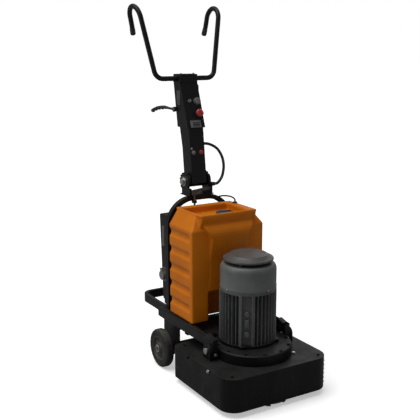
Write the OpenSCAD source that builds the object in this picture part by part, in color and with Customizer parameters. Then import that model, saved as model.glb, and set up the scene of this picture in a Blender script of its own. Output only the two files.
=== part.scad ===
// Walk-behind planetary concrete grinder with an upright three-phase motor, a moulded water
// tank, a rear control cabinet and a folding column with a U-shaped hooked handlebar.
// Millimetres, +Z up. The grinding head is at -Y, the operator's side at +Y, X is across.
// The origin is on the floor below the middle of the machine's outer box.

/* [Overall] */
// Distance of the motor axis in front of the origin
motor_ahead = 261; // [255:1:270]
// Smoothness of round shapes
smooth = 48; // [32:4:96]

/* [Grinding head] */
// Width of the shroud
shroud_w = 564; // [556:2:600]
// Shroud length ahead of the motor axis
shroud_ahead = 275; // [272:1:290]
// Shroud length behind the motor axis
shroud_behind = 225; // [216:1:230]
// Height of the shroud's top above the floor
shroud_top = 184; // [182:1:186]
// Gap between the shroud's lower edge and the floor
shroud_gap = 27; // [20:1:40]
// Sheet thickness of the shroud
shroud_t = 6; // [4:1:8]
// Corner radius at the front of the shroud
front_corner = 75; // [50:5:100]
// Corner radius at the back of the shroud
back_corner = 30; // [20:5:50]
// Distance between the motor axis and the head's own axis (the gear centre distance)
head_offset = 42; // [42:1:42]
// Radius of the gear case
gear_case_r = 184; // [170:1:184]
// Height of the gear case above the shroud
gear_case_h = 50; // [46:1:54]

/* [Gears] */
// Tooth module of the motor pinion and the cup gear
drive_module = 4; // [4:1:4]
// Teeth of the motor pinion
pinion_teeth = 21; // [21:1:21]
// Teeth of the cup gear
cup_teeth = 42; // [42:1:42]
// Tooth module of the planet train
planet_module = 6; // [6:1:6]
// Teeth of the fixed ring gear
ring_teeth = 64; // [64:1:64]
// Teeth of each planet gear
planet_teeth = 24; // [24:1:24]
// Radius of a grinding plate
plate_r = 98; // [88:1:98]

/* [Motor] */
// Radius over the cooling fins
fin_r = 133; // [130:1:136]
// Number of cooling fins
fin_count = 40; // [24:4:48]
// Height above the floor where the fan cowl starts
cowl_z = 497; // [480:1:510]
// Height above the floor of the rain hat's rim
hat_z = 628; // [620:1:640]
// Radius of the rain hat
hat_r = 118; // [110:1:124]

/* [Chassis] */
// Distance of the wheel axle behind the motor axis
axle_behind = 406; // [400:1:410]
// Wheel radius
wheel_r = 98; // [95:1:98]
// Wheel width
wheel_w = 43; // [38:1:44]
// Half distance over the outer faces of the wheels
wheel_out = 268; // [266:1:272]
// Inner face of a side rail from the centre plane
rail_in = 190; // [190:1:192]
// Width of a side rail
rail_w = 28; // [24:1:30]
// Underside of the side rails above the floor
rail_z = 236; // [234:1:238]
// Height of a side rail
rail_h = 46; // [40:1:50]

/* [Tank] */
// Half width of the tank over its side ribs
tank_half_w = 203; // [195:1:210]
// Tank front face behind the motor axis
tank_front = 172; // [170:1:178]
// Tank back face behind the motor axis
tank_back = 395; // [390:1:400]
// Underside of the tank above the floor
tank_z = 287; // [280:1:292]
// Top rim of the tank above the floor
tank_top = 816; // [805:1:825]
// Depth of one side groove
groove_d = 10; // [6:1:12]
// Vertical pitch of the side grooves
groove_pitch = 87; // [80:1:90]

/* [Column] */
// Height of the tilt pivot above the floor
pivot_z = 922; // [915:1:930]
// Tilt pivot behind the motor axis
pivot_behind = 488; // [484:1:492]
// Lean of the column at rest, in degrees
column_lean = 7; // [5:1:8]
// Width of the column tube
column_w = 84; // [80:1:84]
// Depth of the column tube at its foot
column_d = 80; // [76:1:84]
// Radius of the handlebar tube
bar_r = 12.5; // [11:0.5:14]

/* [Hidden] */

$fn = smooth;
e = 0.5;                                     // overshoot of a cut past a face
my = -motor_ahead;                           // motor axis
hy = my - head_offset;                       // head axis
axle_y = my + axle_behind;
axle_z = wheel_r;
axle_r = 12.5;
run = 0.05;                                  // radial running clearance
gap = 0.4;                                   // clearance between pieces that don't touch

black = [0.05, 0.05, 0.055];
motor_grey = [0.36, 0.42, 0.41];
orange = [0.85, 0.45, 0.08];
steel = [0.6, 0.6, 0.6];
light_grey = [0.75, 0.76, 0.74];

// head levels, from the floor up
case_z = shroud_top;                         // gear case stands on the shroud
case_top = case_z + gear_case_h;
ring_z = 122;                                // underside of the ring gear's teeth
planet_face = 24;                            // face width of the planet gears
carrier_z = 92;
carrier_t = 22;
carrier_r = 204;
cup_z = 204;                                 // underside of the cup gear's teeth
cup_face = 18;
orbit = planet_module * (ring_teeth - planet_teeth) / 2;
spindle_r = 30;
bearing_r = 50;
shaft_r = 22;
shaft_bearing_r = 42;
planet_shaft_r = 18;

// motor levels
flange_t = 14;
fin_z = case_top + flange_t;
core_r = 70;
bore_r = core_r + 1;
barrel_r = 108;

// ------------------------------------------------------------------ helpers
module move_y(y) { translate([0, y, 0]) children(); }
module both_sides() {
    children();
    mirror([1, 0, 0]) children();
}
module box(x, y, z) { // box from pairs of [low, high]
    translate([x[0], y[0], z[0]]) cube([x[1] - x[0], y[1] - y[0], z[1] - z[0]]);
}
module rod_x(r, x0, x1, y, z) { translate([x0, y, z]) rotate([0, 90, 0]) cylinder(r = r, h = x1 - x0); }
module rod_y(r, y0, y1, x, z) { translate([x, y0, z]) rotate([-90, 0, 0]) cylinder(r = r, h = y1 - y0); }
module rod_z(r, z0, z1, x, y) { translate([x, y, z0]) cylinder(r = r, h = z1 - z0); }
module ring(r_out, r_in, z0, z1) {
    difference() {
        rod_z(r_out, z0, z1, 0, 0);
        rod_z(r_in, z0 - e, z1 + e, 0, 0);
    }
}
// prism along X of a [y, z] outline
module side_prism(points, x0, x1) {
    translate([x0, 0, 0]) rotate([90, 0, 90]) linear_extrude(x1 - x0) polygon(points);
}
// prism along Y of an [x, z] outline
module front_prism(points, y0, y1) {
    translate([0, y1, 0]) rotate([90, 0, 0]) linear_extrude(y1 - y0) polygon(points);
}
// hexagon head bolt along +Z with a washer, its seat at z = 0
module hex_bolt(d, shank = 0) {
    cylinder(r = d * 1.05, h = 2);
    translate([0, 0, 2]) cylinder(r = d * 0.9, h = d * 0.65, $fn = 6);
    if (shank > 0) translate([0, 0, -shank]) cylinder(r = d / 2, h = shank);
}
// arc of points about a centre, for outlines: [a, b] in degrees
function arc(cx, cy, r, a, b, n = 8) = [for (i = [0:n]) let (t = a + (b - a) * i / n)
    [cx + r * cos(t), cy + r * sin(t)]];

// smooth sweep of a round section along points; the ends are flat
function unit(v) = v / norm(v);
function tangent(p, i) = unit(p[min(i + 1, len(p) - 1)] - p[max(i - 1, 0)]);
function side_of(t) = abs(t[0]) < 0.9 ? unit(cross(t, [1, 0, 0])) : unit(cross(t, [0, 1, 0]));
function carry(v, t) = unit(v - t * (v * t));
function frames(p, i = 0, prev = []) = i >= len(p) ? []
    : let (t = tangent(p, i), u = i == 0 ? side_of(t) : carry(prev, t))
      concat([[t, u]], frames(p, i + 1, u));
module sweep(p, r, n = 12) {
    f = frames(p);
    pts = [for (i = [0:len(p) - 1]) let (u = f[i][1], w = cross(f[i][0], u))
        for (k = [0:n - 1]) p[i] + r * (cos(360 * k / n) * u + sin(360 * k / n) * w)];
    sides = [for (i = [0:len(p) - 2]) for (k = [0:n - 1]) let (a = i * n, k2 = (k + 1) % n)
        [a + k, a + n + k, a + n + k2, a + k2]];
    last = (len(p) - 1) * n;
    polyhedron(pts, concat(sides, [[for (k = [0:n - 1]) k]],
        [[for (k = [n - 1:-1:0]) last + k]]), convexity = 8);
}
// Catmull-Rom curve through hand-chosen points
function cr(a, b, c, d, t) = 0.5 * (2 * b + (c - a) * t + (2 * a - 5 * b + 4 * c - d) * t * t
    + (3 * b - a - 3 * c + d) * t * t * t);
function curve(p, n = 6) = concat([for (i = [0:len(p) - 2]) for (j = [0:n - 1])
    cr(p[max(i - 1, 0)], p[i], p[i + 1], p[min(i + 2, len(p) - 1)], j / n)], [p[len(p) - 1]]);

// involute gear outline: thick is the tooth thickness at the pitch circle, in degrees;
// r_tip and r_root bound the tooth, and flanks below the base circle run radially
function inv_deg(r, rb) = r <= rb ? 0 : let (c = acos(rb / r)) tan(c) * 180 / PI - c;
function flank_half(r, rp, rb, thick) = thick / 2 + inv_deg(rp, rb) - inv_deg(max(r, rb), rb);
function gear_points(teeth, m, thick, r_tip, r_root) = let (rp = teeth * m / 2, rb = rp * cos(20),
    rs = [r_root, (r_root + rp) / 2, rp, (rp + r_tip) / 2, r_tip])
    [for (i = [0:teeth - 1]) let (a = 360 * i / teeth) each concat(
        [for (r = rs) let (t = a - flank_half(r, rp, rb, thick)) [r * cos(t), r * sin(t)]],
        [for (k = [len(rs) - 1:-1:0]) let (r = rs[k], t = a + flank_half(r, rp, rb, thick))
            [r * cos(t), r * sin(t)]])];
tooth_play = 0.3;                            // backlash at the pitch circle
function play_deg(rp) = tooth_play / rp * 180 / PI;
// external gear with a tooth centred on angle 0
module spur(teeth, m) {
    rp = teeth * m / 2;
    polygon(gear_points(teeth, m, 180 / teeth - play_deg(rp), rp + 0.8 * m, rp - 1.0 * m));
}
// the cut that makes an internal gear, with a tooth space centred on angle 0
module spur_cut(teeth, m) {
    rp = teeth * m / 2;
    polygon(gear_points(teeth, m, 180 / teeth + play_deg(rp), rp + 1.0 * m, rp - 0.8 * m));
}

// ------------------------------------------------------------------ grinding head
// plan outline of the shroud, drawn inside by "inset"
module shroud_plan(inset) {
    x = shroud_w / 2 - inset;
    y0 = my - shroud_ahead + inset;
    y1 = my + shroud_behind - inset;
    rf = front_corner - inset;
    rb = back_corner - inset;
    polygon(concat(arc(x - rf, y0 + rf, rf, -90, 0), arc(x - rb, y1 - rb, rb, 0, 90),
        arc(-x + rb, y1 - rb, rb, 90, 180), arc(-x + rf, y0 + rf, rf, 180, 270)));
}
lug_y = my - 14;                             // head pivot
lug_z = 226;
lug_x = rail_in + rail_w + 1.5;
lug_t = 16;
pin_r = 10;
module shroud() color(black) {
    difference() {
        translate([0, 0, shroud_gap]) linear_extrude(shroud_top - shroud_gap) shroud_plan(0);
        translate([0, 0, shroud_gap - e]) linear_extrude(shroud_top - shroud_gap - 8 + e)
            shroud_plan(shroud_t);
        rod_z(bearing_r + 14, shroud_top - 10, shroud_top + e, 0, hy);
    }
    both_sides() difference() {
        union() {
            box([lug_x, lug_x + lug_t], [lug_y - 30, lug_y + 30], [shroud_top, lug_z]);
            rod_x(30, lug_x, lug_x + lug_t, lug_y, lug_z);
        }
        rod_x(pin_r, lug_x - e, lug_x + lug_t + e, lug_y, lug_z);
    }
}
skirt_r = 225;
module dust_skirt() color([0.08, 0.08, 0.08]) move_y(hy)
    ring(skirt_r, skirt_r - 4, 22, shroud_top - 8);
module gear_case() color(black) difference() {
    union() {
        move_y(hy) rod_z(gear_case_r, case_z, case_top - 5, 0, 0);
        move_y(hy) translate([0, 0, case_top - 5]) cylinder(r1 = gear_case_r,
            r2 = gear_case_r - 5, h = 5, $fn = smooth);
        rod_z(bearing_r + 13.6, 150, case_z, 0, hy);
    }
    rod_z(104, cup_z - 12, case_top - 8, 0, hy);          // oil space around the cup gear
    rod_z(bearing_r, 150 - e, cup_z - 11, 0, hy);         // bore for the two head bearings
    rod_z(shaft_bearing_r - 8, cup_z, case_top + e, 0, my);
}
module ring_gear() color(steel) move_y(hy) difference() {
    rod_z(214, ring_z, shroud_top - 8, 0, 0);
    translate([0, 0, ring_z - e]) linear_extrude(planet_face + 6 + e)
        spur_cut(ring_teeth, planet_module);
    rod_z(planet_module * ring_teeth / 2 - 10, ring_z, shroud_top, 0, 0);
}
module planet_carrier() color(steel) move_y(hy) difference() {
    union() {
        rod_z(carrier_r, carrier_z, carrier_z + carrier_t, 0, 0);
        rod_z(spindle_r + 10, carrier_z, 148, 0, 0);
        rod_z(spindle_r, 140, cup_z, 0, 0);
    }
    for (i = [0:2]) rotate(120 * i + 30) rod_z(planet_shaft_r + run, carrier_z - e,
        carrier_z + carrier_t + e, orbit, 0);
}
module cup_gear() color(steel) move_y(hy) difference() {
    rod_z(100, cup_z - 8, cup_z + cup_face, 0, 0);
    translate([0, 0, cup_z]) rotate(90) linear_extrude(cup_face + e)
        spur_cut(cup_teeth, drive_module);
    rod_z(spindle_r, cup_z - 8 - e, cup_z + e, 0, 0);
}
// a tooth of planet i points outwards into a space of the ring gear
function planet_turn(i) = let (a = 120 * i + 30, step = 360 / ring_teeth)
    a + (round(a / step) * step - a) * ring_teeth / planet_teeth;
module at_planet(i) { translate([orbit * cos(120 * i + 30), hy + orbit * sin(120 * i + 30), 0]) children(); }
module planet_gear(i) color(steel) at_planet(i) {
    translate([0, 0, ring_z + 1]) rotate(planet_turn(i)) linear_extrude(planet_face)
        spur(planet_teeth, planet_module);
    rod_z(planet_shaft_r, 44, ring_z + 1, 0, 0);
}
segment_h = 12;
module grinding_plate(i) color([0.35, 0.35, 0.36]) at_planet(i) {
    difference() {
        union() {
            rod_z(plate_r, segment_h, segment_h + 14, 0, 0);
            rod_z(52, segment_h + 14, 60, 0, 0);
            rod_z(34, 60, carrier_z - 4, 0, 0);
        }
        rod_z(planet_shaft_r, 44, carrier_z, 0, 0);
        rod_z(16, segment_h - e, 30, 0, 0);
    }
    for (k = [0:5]) rotate(60 * k) translate([plate_r - 40, -11, 0]) cube([34, 22, segment_h + 0.01]);
}
module bearings() color(steel) {
    for (z = [152, 172]) move_y(hy) ring(bearing_r, spindle_r + run, z, z + 18);
    move_y(my) ring(shaft_bearing_r, shaft_r + run, case_top + 1, case_top + 13);
    move_y(my) ring(shaft_bearing_r, shaft_r + run, cowl_z - 16, cowl_z - 2);
}
module pivot_pins() color(light_grey) both_sides() {
    rod_x(pin_r, rail_in - 6, lug_x + lug_t, lug_y, lug_z);
    rod_x(15, lug_x + lug_t, lug_x + lug_t + 8, lug_y, lug_z);
}
module head_bolts() color(light_grey) {
    for (i = [0, 5, 6, 7, 8, 9, 10, 11]) move_y(hy) rotate(30 * i + 15)
        translate([gear_case_r - 14, 0, case_top]) hex_bolt(8);
    for (a = [-38:51.5:168]) move_y(hy) rotate(a) translate([gear_case_r + 9.5, 0, shroud_top])
        hex_bolt(8);
    both_sides() {
        for (y = [-235, 185]) translate([238, my + y, shroud_top]) hex_bolt(8);
        for (y = [-108, 80]) translate([shroud_w / 2, my + y, shroud_top - 12]) rotate([0, 90, 0])
            hex_bolt(8);
    }
}

// ------------------------------------------------------------------ motor
module motor_flange() color(motor_grey) move_y(my) difference() {
    union() {
        rod_z(138, case_top, fin_z, 0, 0);
        for (a = [45:90:315]) rotate(a) rod_z(14, case_top, fin_z, 136, 0);
    }
    rod_z(shaft_bearing_r, case_top + 1, fin_z + e, 0, 0);
    rod_z(shaft_r + 4, case_top - e, fin_z, 0, 0);
}
pad_turn = -36;                              // flat pads face forward and to the left
module motor_housing() color(motor_grey) move_y(my) difference() {
    union() {
        translate([0, 0, fin_z]) linear_extrude(cowl_z - fin_z) {
            circle(barrel_r);
            for (i = [0:fin_count - 1]) rotate(360 * (i + 0.5) / fin_count)
                translate([barrel_r - 6, -1.6]) square([fin_r - barrel_r + 6, 3.2]);
            for (a = [0:90:270]) rotate(pad_turn + a - 90) for (s = [-1, 1])
                translate([barrel_r - 10, s * 30 - 7]) square([fin_r - barrel_r + 7, 14]);
        }
        rod_z(fin_r, cowl_z - 12, cowl_z, 0, 0);
    }
    rod_z(bore_r, fin_z - e, cowl_z - 22, 0, 0);
    rod_z(shaft_bearing_r, cowl_z - 16, cowl_z + e, 0, 0);
    rod_z(shaft_r + 4, cowl_z - 30, cowl_z, 0, 0);
}
cowl_top = hat_z - 16;
module fan_cowl() color(motor_grey) move_y(my) difference() {
    union() {
        rod_z(fin_r - 1, cowl_z, cowl_top - 22, 0, 0);
        translate([0, 0, cowl_top - 22]) cylinder(r1 = fin_r - 1, r2 = fin_r - 12, h = 22, $fn = smooth);
    }
    rod_z(fin_r - 4, cowl_z - e, cowl_top - 24, 0, 0);
    rod_z(24, cowl_top - 30, cowl_top + e, 0, 0);
    for (k = [0:15]) rotate(22.5 * k) translate([34, -4, cowl_top - 30]) cube([66, 8, 40]);
}
module rain_hat() color(motor_grey) move_y(my) {
    difference() {
        union() {
            rod_z(hat_r, hat_z, hat_z + 7, 0, 0);
            translate([0, 0, hat_z + 7]) cylinder(r1 = hat_r - 2, r2 = 88, h = 14, $fn = smooth);
            rod_z(88, hat_z + 21, hat_z + 25, 0, 0);
        }
        rod_z(hat_r - 8, hat_z - e, hat_z + 5, 0, 0);
    }
    for (a = [33.75:90:303.75]) rotate(a) rod_z(6, cowl_top, hat_z + 5, 94, 0);
}
module terminal_box() color(motor_grey) {
    difference() {
        box([-52, 52], [my + fin_r - 26, my + fin_r + 26], [300, 380]);
        rod_z(fin_r + 3, 299, 381, 0, my);
    }
    box([-56, 56], [my + fin_r + 26, my + fin_r + 32], [296, 384]);
}
module motor_shaft() color(steel) move_y(my) {
    translate([0, 0, cup_z + 1]) rotate(90) linear_extrude(cup_face - 4)
        spur(pinion_teeth, drive_module);
    rod_z(shaft_r, cup_z + 1, cowl_z + 90, 0, 0);
}
module rotor_core() color(steel) move_y(my) ring(core_r, shaft_r, fin_z + 30, cowl_z - 40);
module cooling_fan() color([0.1, 0.1, 0.1]) move_y(my) {
    ring(34, shaft_r, cowl_z + 22, cowl_z + 72);
    ring(110, 30, cowl_z + 22, cowl_z + 26);
    for (k = [0:6]) rotate(360 / 7 * k) box([32, 106], [-2, 2], [cowl_z + 25, cowl_z + 70]);
}

// ------------------------------------------------------------------ chassis
rail_front = my - 42;
rail_back = my + 495;
foot_z = 196;                                // underside of a rail's front foot, which holds the pivot pin
post_top = 242;                              // top of the plates and posts welded inside the rails
cap_y = my + 6;                              // capped bracket on the front end of each rail
module side_rails() color(black) both_sides() difference() {
    union() {
        box([rail_in, rail_in + rail_w], [rail_front, rail_back], [rail_z, rail_z + rail_h]);
        box([rail_in, rail_in + rail_w], [rail_front, cap_y + 36], [foot_z, rail_z]);
        translate([rail_in, cap_y, 256]) rotate([14, 0, 0]) box([1, rail_w - 1], [-26, 26], [0, 32]);
    }
    box([rail_in + 4, rail_in + rail_w - 4], [cap_y + 40, rail_back + e],
        [rail_z + 4, rail_z + rail_h - 4]);
    rod_x(pin_r + run, rail_in - e, rail_in + rail_w + e, lug_y, lug_z);
}
deck_z = post_top - 6;
module deck_plate() color(black) difference() {
    box([-rail_in, rail_in], [my + 120, my + 240], [deck_z, deck_z + 6]);
    rod_z(fin_r + 22, deck_z - e, deck_z + 7, 0, my);
}
module cross_members() color(black) {
    box([-rail_in, rail_in], [my + 452, my + 488], [150, 186]);
    both_sides() box([rail_in - 8, rail_in], [my + 452, my + 488], [186, post_top]);
    difference() {
        box([-rail_in, rail_in], [my + 240, my + 270], [206, post_top]);
        box([-rail_in - e, rail_in + e], [my + 244, my + 266], [210, post_top - 4]);
    }
}
module tank_mounts() color([0.1, 0.1, 0.1]) both_sides() for (y = [196, 356])
    translate([rail_in + 4, my + y, rail_z + rail_h]) cylinder(r = 9, h = tank_z - rail_z - rail_h);
module axle_plates() color(black) both_sides() difference() {
    union() {
        box([rail_in - 8, rail_in], [my + 330, my + 452 - gap], [axle_z, post_top]);
        rod_x(46, rail_in - 8, rail_in, axle_y, axle_z);
    }
    rod_x(axle_r, rail_in - 10, rail_in + 2, axle_y, axle_z);
}
module axle() color(steel) {
    rod_x(axle_r, -wheel_out - 6, wheel_out + 6, axle_y, axle_z);
    both_sides() rod_x(19, rail_in, wheel_out - wheel_w - 1, axle_y, axle_z);
}
loop_z = 228;
loop_h = 46;
loop_x = 170;
loop_back = my + 797;
loop_t = 18;
loop_round = 60;
module loop_plan(inset) {
    x = loop_x - inset;
    y = loop_back - inset;
    r = loop_round - inset;
    polygon(concat([[x, arch_y[1] - inset]], arc(x - r, y - r, r, 0, 90),
        arc(-x + r, y - r, r, 90, 180), [[-x, arch_y[1] - inset]]));
}
module rear_loop() color(black) translate([0, 0, loop_z]) linear_extrude(loop_h) difference() {
    loop_plan(0);
    loop_plan(loop_t);
}
module loop_brackets() color(black) {
    box([-loop_x + loop_t, loop_x - loop_t], [my + 528, my + 548], [loop_z, loop_z + loop_h - 6]);
    both_sides() {
        box([loop_x, rail_in], [my + 488, rail_back + 30], [loop_z, loop_z + 14]);
        box([loop_x - loop_t, loop_x], [my + 540, my + 590], [loop_z - 26, loop_z]);
    }
}
arch_x = rail_in;
arch_t = 24;
arch_top = 855;
arch_r = 150;
arch_y = [my + 434, my + 464];
function arch_outline(d) = let (x = arch_x - d, r = arch_r - d, z = arch_top - d)
    concat([[x, post_top]], arc(x - r, z - r, r, 0, 90, 16),
        arc(-x + r, z - r, r, 90, 180, 16), [[-x, post_top]]);
module arch_frame() color(black) difference() {
    front_prism(arch_outline(0), arch_y[0], arch_y[1]);
    intersection() {
        front_prism(arch_outline(arch_t), arch_y[0] - e, arch_y[1] + e);
        box([-arch_x, arch_x], [arch_y[0] - e, arch_y[1] + e], [post_top - 10, arch_top]);
    }
    box([-arch_x + arch_t, arch_x - arch_t], [arch_y[0] - e, arch_y[1] + e], [post_top - 10, 500]);
}
pivot_y = my + pivot_behind;
ear_x = 54;                                  // inner face of an ear of the yoke
ear_t = 12;
ear_r = 46;
tilt_pin_r = 11;
yoke_z = arch_top + 4;
leg_y = [my + 430, my + 511];
module hinge_yoke() color(black) {
    box([-76, 76], [leg_y[0], leg_y[1]], [arch_top, yoke_z]);
    both_sides() difference() {
        union() {
            box([ear_x, ear_x + ear_t], leg_y, [yoke_z, pivot_z - 30]);
            rod_x(ear_r, ear_x, ear_x + ear_t, pivot_y, pivot_z);
        }
        rod_x(tilt_pin_r + run, ear_x - e, ear_x + ear_t + e, pivot_y, pivot_z);
        // locking notches round the free edge of the ear
        translate([0, pivot_y, pivot_z]) for (k = [-1:5]) rotate([25 * k, 0, 0])
            box([ear_x - e, ear_x + ear_t + e], [ear_r - 7, ear_r + 5], [-5, 5]);
    }
    box([conduit_end[0] - 22, conduit_end[0] - 16], [conduit_end[1] - 9, conduit_end[1] + 9],
        [yoke_z, conduit_end[2] + 12]);
    difference() {                           // guide of the lock rod
        box([lock_x - 9, lock_x + 9], [guide_y - 9, arch_y[0]], [820, 834]);
        rod_z(lock_r + run, 819, 835, lock_x, guide_y);
    }
}
lock_x = -44;
lock_r = 5;
guide_y = my + 420;
module lock_rod() color(light_grey) {
    rod_z(lock_r, 776, 862, lock_x, guide_y);
    box([lock_x - 13, lock_x + 13], [guide_y - 6, guide_y + 6], [860, 884]);
    // cross arm that reaches between the ears
    translate([lock_x, guide_y + 14, 878]) rotate([0, -6, 0]) box([-7, 92], [-10, 6], [-6, 6]);
}

// ------------------------------------------------------------------ tank
bulge_w = 110;                               // half width of the forward bulge
bulge_front = my + 144;
bulge_z = 437;                               // underside of the bulge, above the arch
bulge_r = 70;
arch_deep = 250;                             // the tank's arch reaches this far behind the motor axis
rim_half_w = 158;
rim_front = my + 161;
rim_back = my + 406;
rim_h = 10;
shoulder_z = 739;
chamfer_run = 42;                            // the front face leans back this far above the shoulder
wall = 6;
tray_x = [-146, 112];
tray_y = [my + 173, my + 366];
tray_deep = 36;
front_y = my + tank_front;
back_y = my + tank_back;
body_top = tank_top - rim_h;
// front view of the body, drawn inside by d: straight sides, then facets to the rim
function body_outline(d) = [[-tank_half_w + d, tank_z + d], [tank_half_w - d, tank_z + d],
    [tank_half_w - d, shoulder_z], [rim_half_w - d, body_top - d],
    [-rim_half_w + d, body_top - d], [-tank_half_w + d, shoulder_z]];
// side view of the body: a straight front face that leans back above the shoulder
function flank_outline(d) = [[front_y + d, tank_z], [back_y - d, tank_z], [back_y - d, tank_top],
    [front_y + chamfer_run + d, tank_top], [front_y + chamfer_run + d, body_top],
    [front_y + d, shoulder_z]];
// side view of the forward bulge, rounded over at the top
function bulge_outline(d) = concat([[front_y + 60, bulge_z + d], [bulge_front + d, bulge_z + d]],
    arc(bulge_front + bulge_r, shoulder_z - 27, bulge_r - d, 180, 90, 8),
    [[front_y + 60, shoulder_z - 27 + bulge_r - d]]);
// side view of the tray's front wall, which flares from the bulge to the rim
tray_front = [[rim_front, body_top + 1], [rim_front, body_top - 12], [front_y + 9, shoulder_z + 10],
    [front_y + 34, shoulder_z + 14], [front_y + 52, body_top + 1]];
module tank_solid(d) {
    intersection() {
        front_prism(body_outline(d), front_y, back_y);
        side_prism(flank_outline(d), -tank_half_w, tank_half_w);
    }
    side_prism(bulge_outline(d), -bulge_w + d, bulge_w - d);
}
module tank_arch(d) {
    box([-bulge_w - d, bulge_w + d], [my, my + arch_deep + d], [tank_z - e, bulge_z + d]);
}
module tool_tray(d) {
    box([tray_x[0] - d, tray_x[1] + d], [tray_y[0] - d, tray_y[1] + d],
        [tank_top - tray_deep - 2 * d, tank_top + e]);
}
module tank() color(orange) difference() {
    union() {
        tank_solid(0);
        box([-rim_half_w, rim_half_w], [rim_front, rim_back], [body_top, tank_top]);
        side_prism(tray_front, -rim_half_w + 4, rim_half_w - 4);
    }
    difference() {                                                        // sealed water space
        tank_solid(wall);
        tank_arch(wall);
        tool_tray(wall);
        both_sides() for (k = [0:4]) side_groove(k, wall);
    }
    tank_arch(0);
    tool_tray(0);
    both_sides() for (k = [0:4]) side_groove(k, 0);
    rod_z(neck_r, tank_top - tray_deep - 3 * wall, tank_top + e, neck_x, neck_y);
}
groove_r = 26;
module side_groove(k, d) {
    z = 702 - k * groove_pitch;
    rod_y(groove_r + d, front_y + 26 - d, back_y + e, tank_half_w + groove_r - groove_d, z);
}
neck_x = 60;
neck_y = my + 300;
neck_r = 34;
module tank_cap() color([0.08, 0.08, 0.08]) translate([neck_x, neck_y, tank_top - tray_deep]) {
    cylinder(r = 42, h = 8);
    translate([-34, -5, 8]) cube([68, 10, 5]);
    translate([0, 0, -14]) cylinder(r = neck_r - gap, h = 14);
}
// water hose from the tank's right side to the arch, held at both ends
fitting = [142, my + 335];
hose_route = [[142, my + 335, 824.3], [142, my + 335, 828], [142, my + 335, 832], [140, my + 340, 839],
    [134, my + 352, 845], [124, my + 370, 848], [112, my + 392, 847], [102, my + 410, 843],
    [93, my + 421, 837], [90, my + 427, 834], [90, my + 430, 834], [90, my + 433.6, 834]];
module tank_hose() color([0.08, 0.08, 0.08]) {
    sweep(curve(hose_route, 4), 4, 10);
}

// ------------------------------------------------------------------ cabinet
cab_x = arch_x - 35;
cab_front = my + 410;
cab_z = 277;
cab_top = 752;
cab_back_low = my + 545;
cab_back_top = my + 575;
sheet = 3;
sill = 24;                                   // closed strip of the back below the door
module cabinet() color(black) difference() {
    side_prism([[cab_front, cab_z], [cab_back_low, cab_z], [cab_back_top, cab_top],
        [cab_front, cab_top]], -cab_x, cab_x);
    side_prism([[cab_front + sheet, cab_z + sheet], [cab_back_low - sheet, cab_z + sheet],
        [cab_back_top - sheet, cab_top - sheet], [cab_front + sheet, cab_top - sheet]],
        -cab_x + sheet, cab_x - sheet);
    on_back() box([-cab_x + 12, cab_x - 12], [-8, 5], [sill + 8, door_h - 12]);
    rod_x(20, -cab_x - e, -cab_x + 5, inlet_y, inlet_z);
}
door_lean = atan2(cab_back_top - cab_back_low, cab_top - cab_z);
door_h = (cab_top - cab_z) / cos(door_lean);
module on_back() { translate([0, cab_back_low, cab_z]) rotate([-door_lean, 0, 0]) children(); }
door_pin_x = cab_x - 6;
module cabinet_door() color(black) on_back() {
    difference() {
        union() {
            box([-cab_x, cab_x - 14], [0.5, 12], [sill, door_h - 4]);
            for (z = [70, door_h - 70]) {
                box([cab_x - 16, door_pin_x], [3, 12], [z - 18, z + 18]);
                rod_z(6, z - 18, z + 18, door_pin_x, 8);
            }
        }
        for (z = [70, door_h - 70]) rod_z(3 + run, z - 19, z + 19, door_pin_x, 8);
        rod_y(8 + run, 0, 13, -cab_x + 26, door_h / 2);
        box([-cab_x + 14, cab_x - 28], [0, 9.5], [sill + 14, door_h - 18]);
    }
}
module door_latch() color(steel) on_back() {
    rod_y(8, -4, 18, -cab_x + 26, door_h / 2);
    box([-cab_x + 21, -cab_x + 31], [18, 24], [door_h / 2 - 18, door_h / 2 + 18]);
}
inlet_y = my + 526;
inlet_z = 437;
lid_pin_x = -cab_x - 25;
lid_pin_z = inlet_z + 32;
module power_inlet() color(light_grey) difference() {
    union() {
        box([-cab_x - 6, -cab_x], [inlet_y - 24, inlet_y + 24], [inlet_z - 36, inlet_z + 36]);
        rod_x(22, -cab_x - 22, -cab_x - 6, inlet_y, inlet_z);
        rod_x(19.5, -cab_x - 6, -cab_x + 12, inlet_y, inlet_z);
        for (s = [-1, 1]) box([-cab_x - 28, -cab_x - 6], [inlet_y + s * 13 - 2.5, inlet_y + s * 13 + 2.5],
            [lid_pin_z - 4, lid_pin_z + 4]);
        rod_y(2, inlet_y - 14, inlet_y + 14, lid_pin_x, lid_pin_z);
    }
    rod_x(17, -cab_x - 23, -cab_x + 4, inlet_y, inlet_z);
}
module inlet_lid() color(light_grey) {
    rod_x(24, -cab_x - 28, -cab_x - 22 - gap, inlet_y, inlet_z);
    difference() {
        union() {
            box([-cab_x - 28, -cab_x - 22 - gap], [inlet_y - 10, inlet_y + 10], [inlet_z + 14, lid_pin_z]);
            rod_y(4, inlet_y - 10, inlet_y + 10, lid_pin_x, lid_pin_z);
        }
        rod_y(2 + run, inlet_y - 11, inlet_y + 11, lid_pin_x, lid_pin_z);
    }
}
module inverter() color([0.25, 0.27, 0.3]) {
    box([-90, 90], [cab_front + sheet, cab_front + 85], [400, 680]);
}
module cable_glands() color([0.15, 0.15, 0.15]) {
    rod_z(9, tank_top, tank_top + 8, fitting[0], fitting[1]);             // hose fitting
    rod_z(13, tank_top, tank_top + 5, fitting[0], fitting[1]);
    rod_x(10, conduit_end[0] - 16, conduit_end[0] - 0.3, conduit_end[1], conduit_end[2]);
    for (x = [-60, 0, 60]) rod_z(11, cab_z - 20, cab_z, x, my + 470);
}
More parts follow.
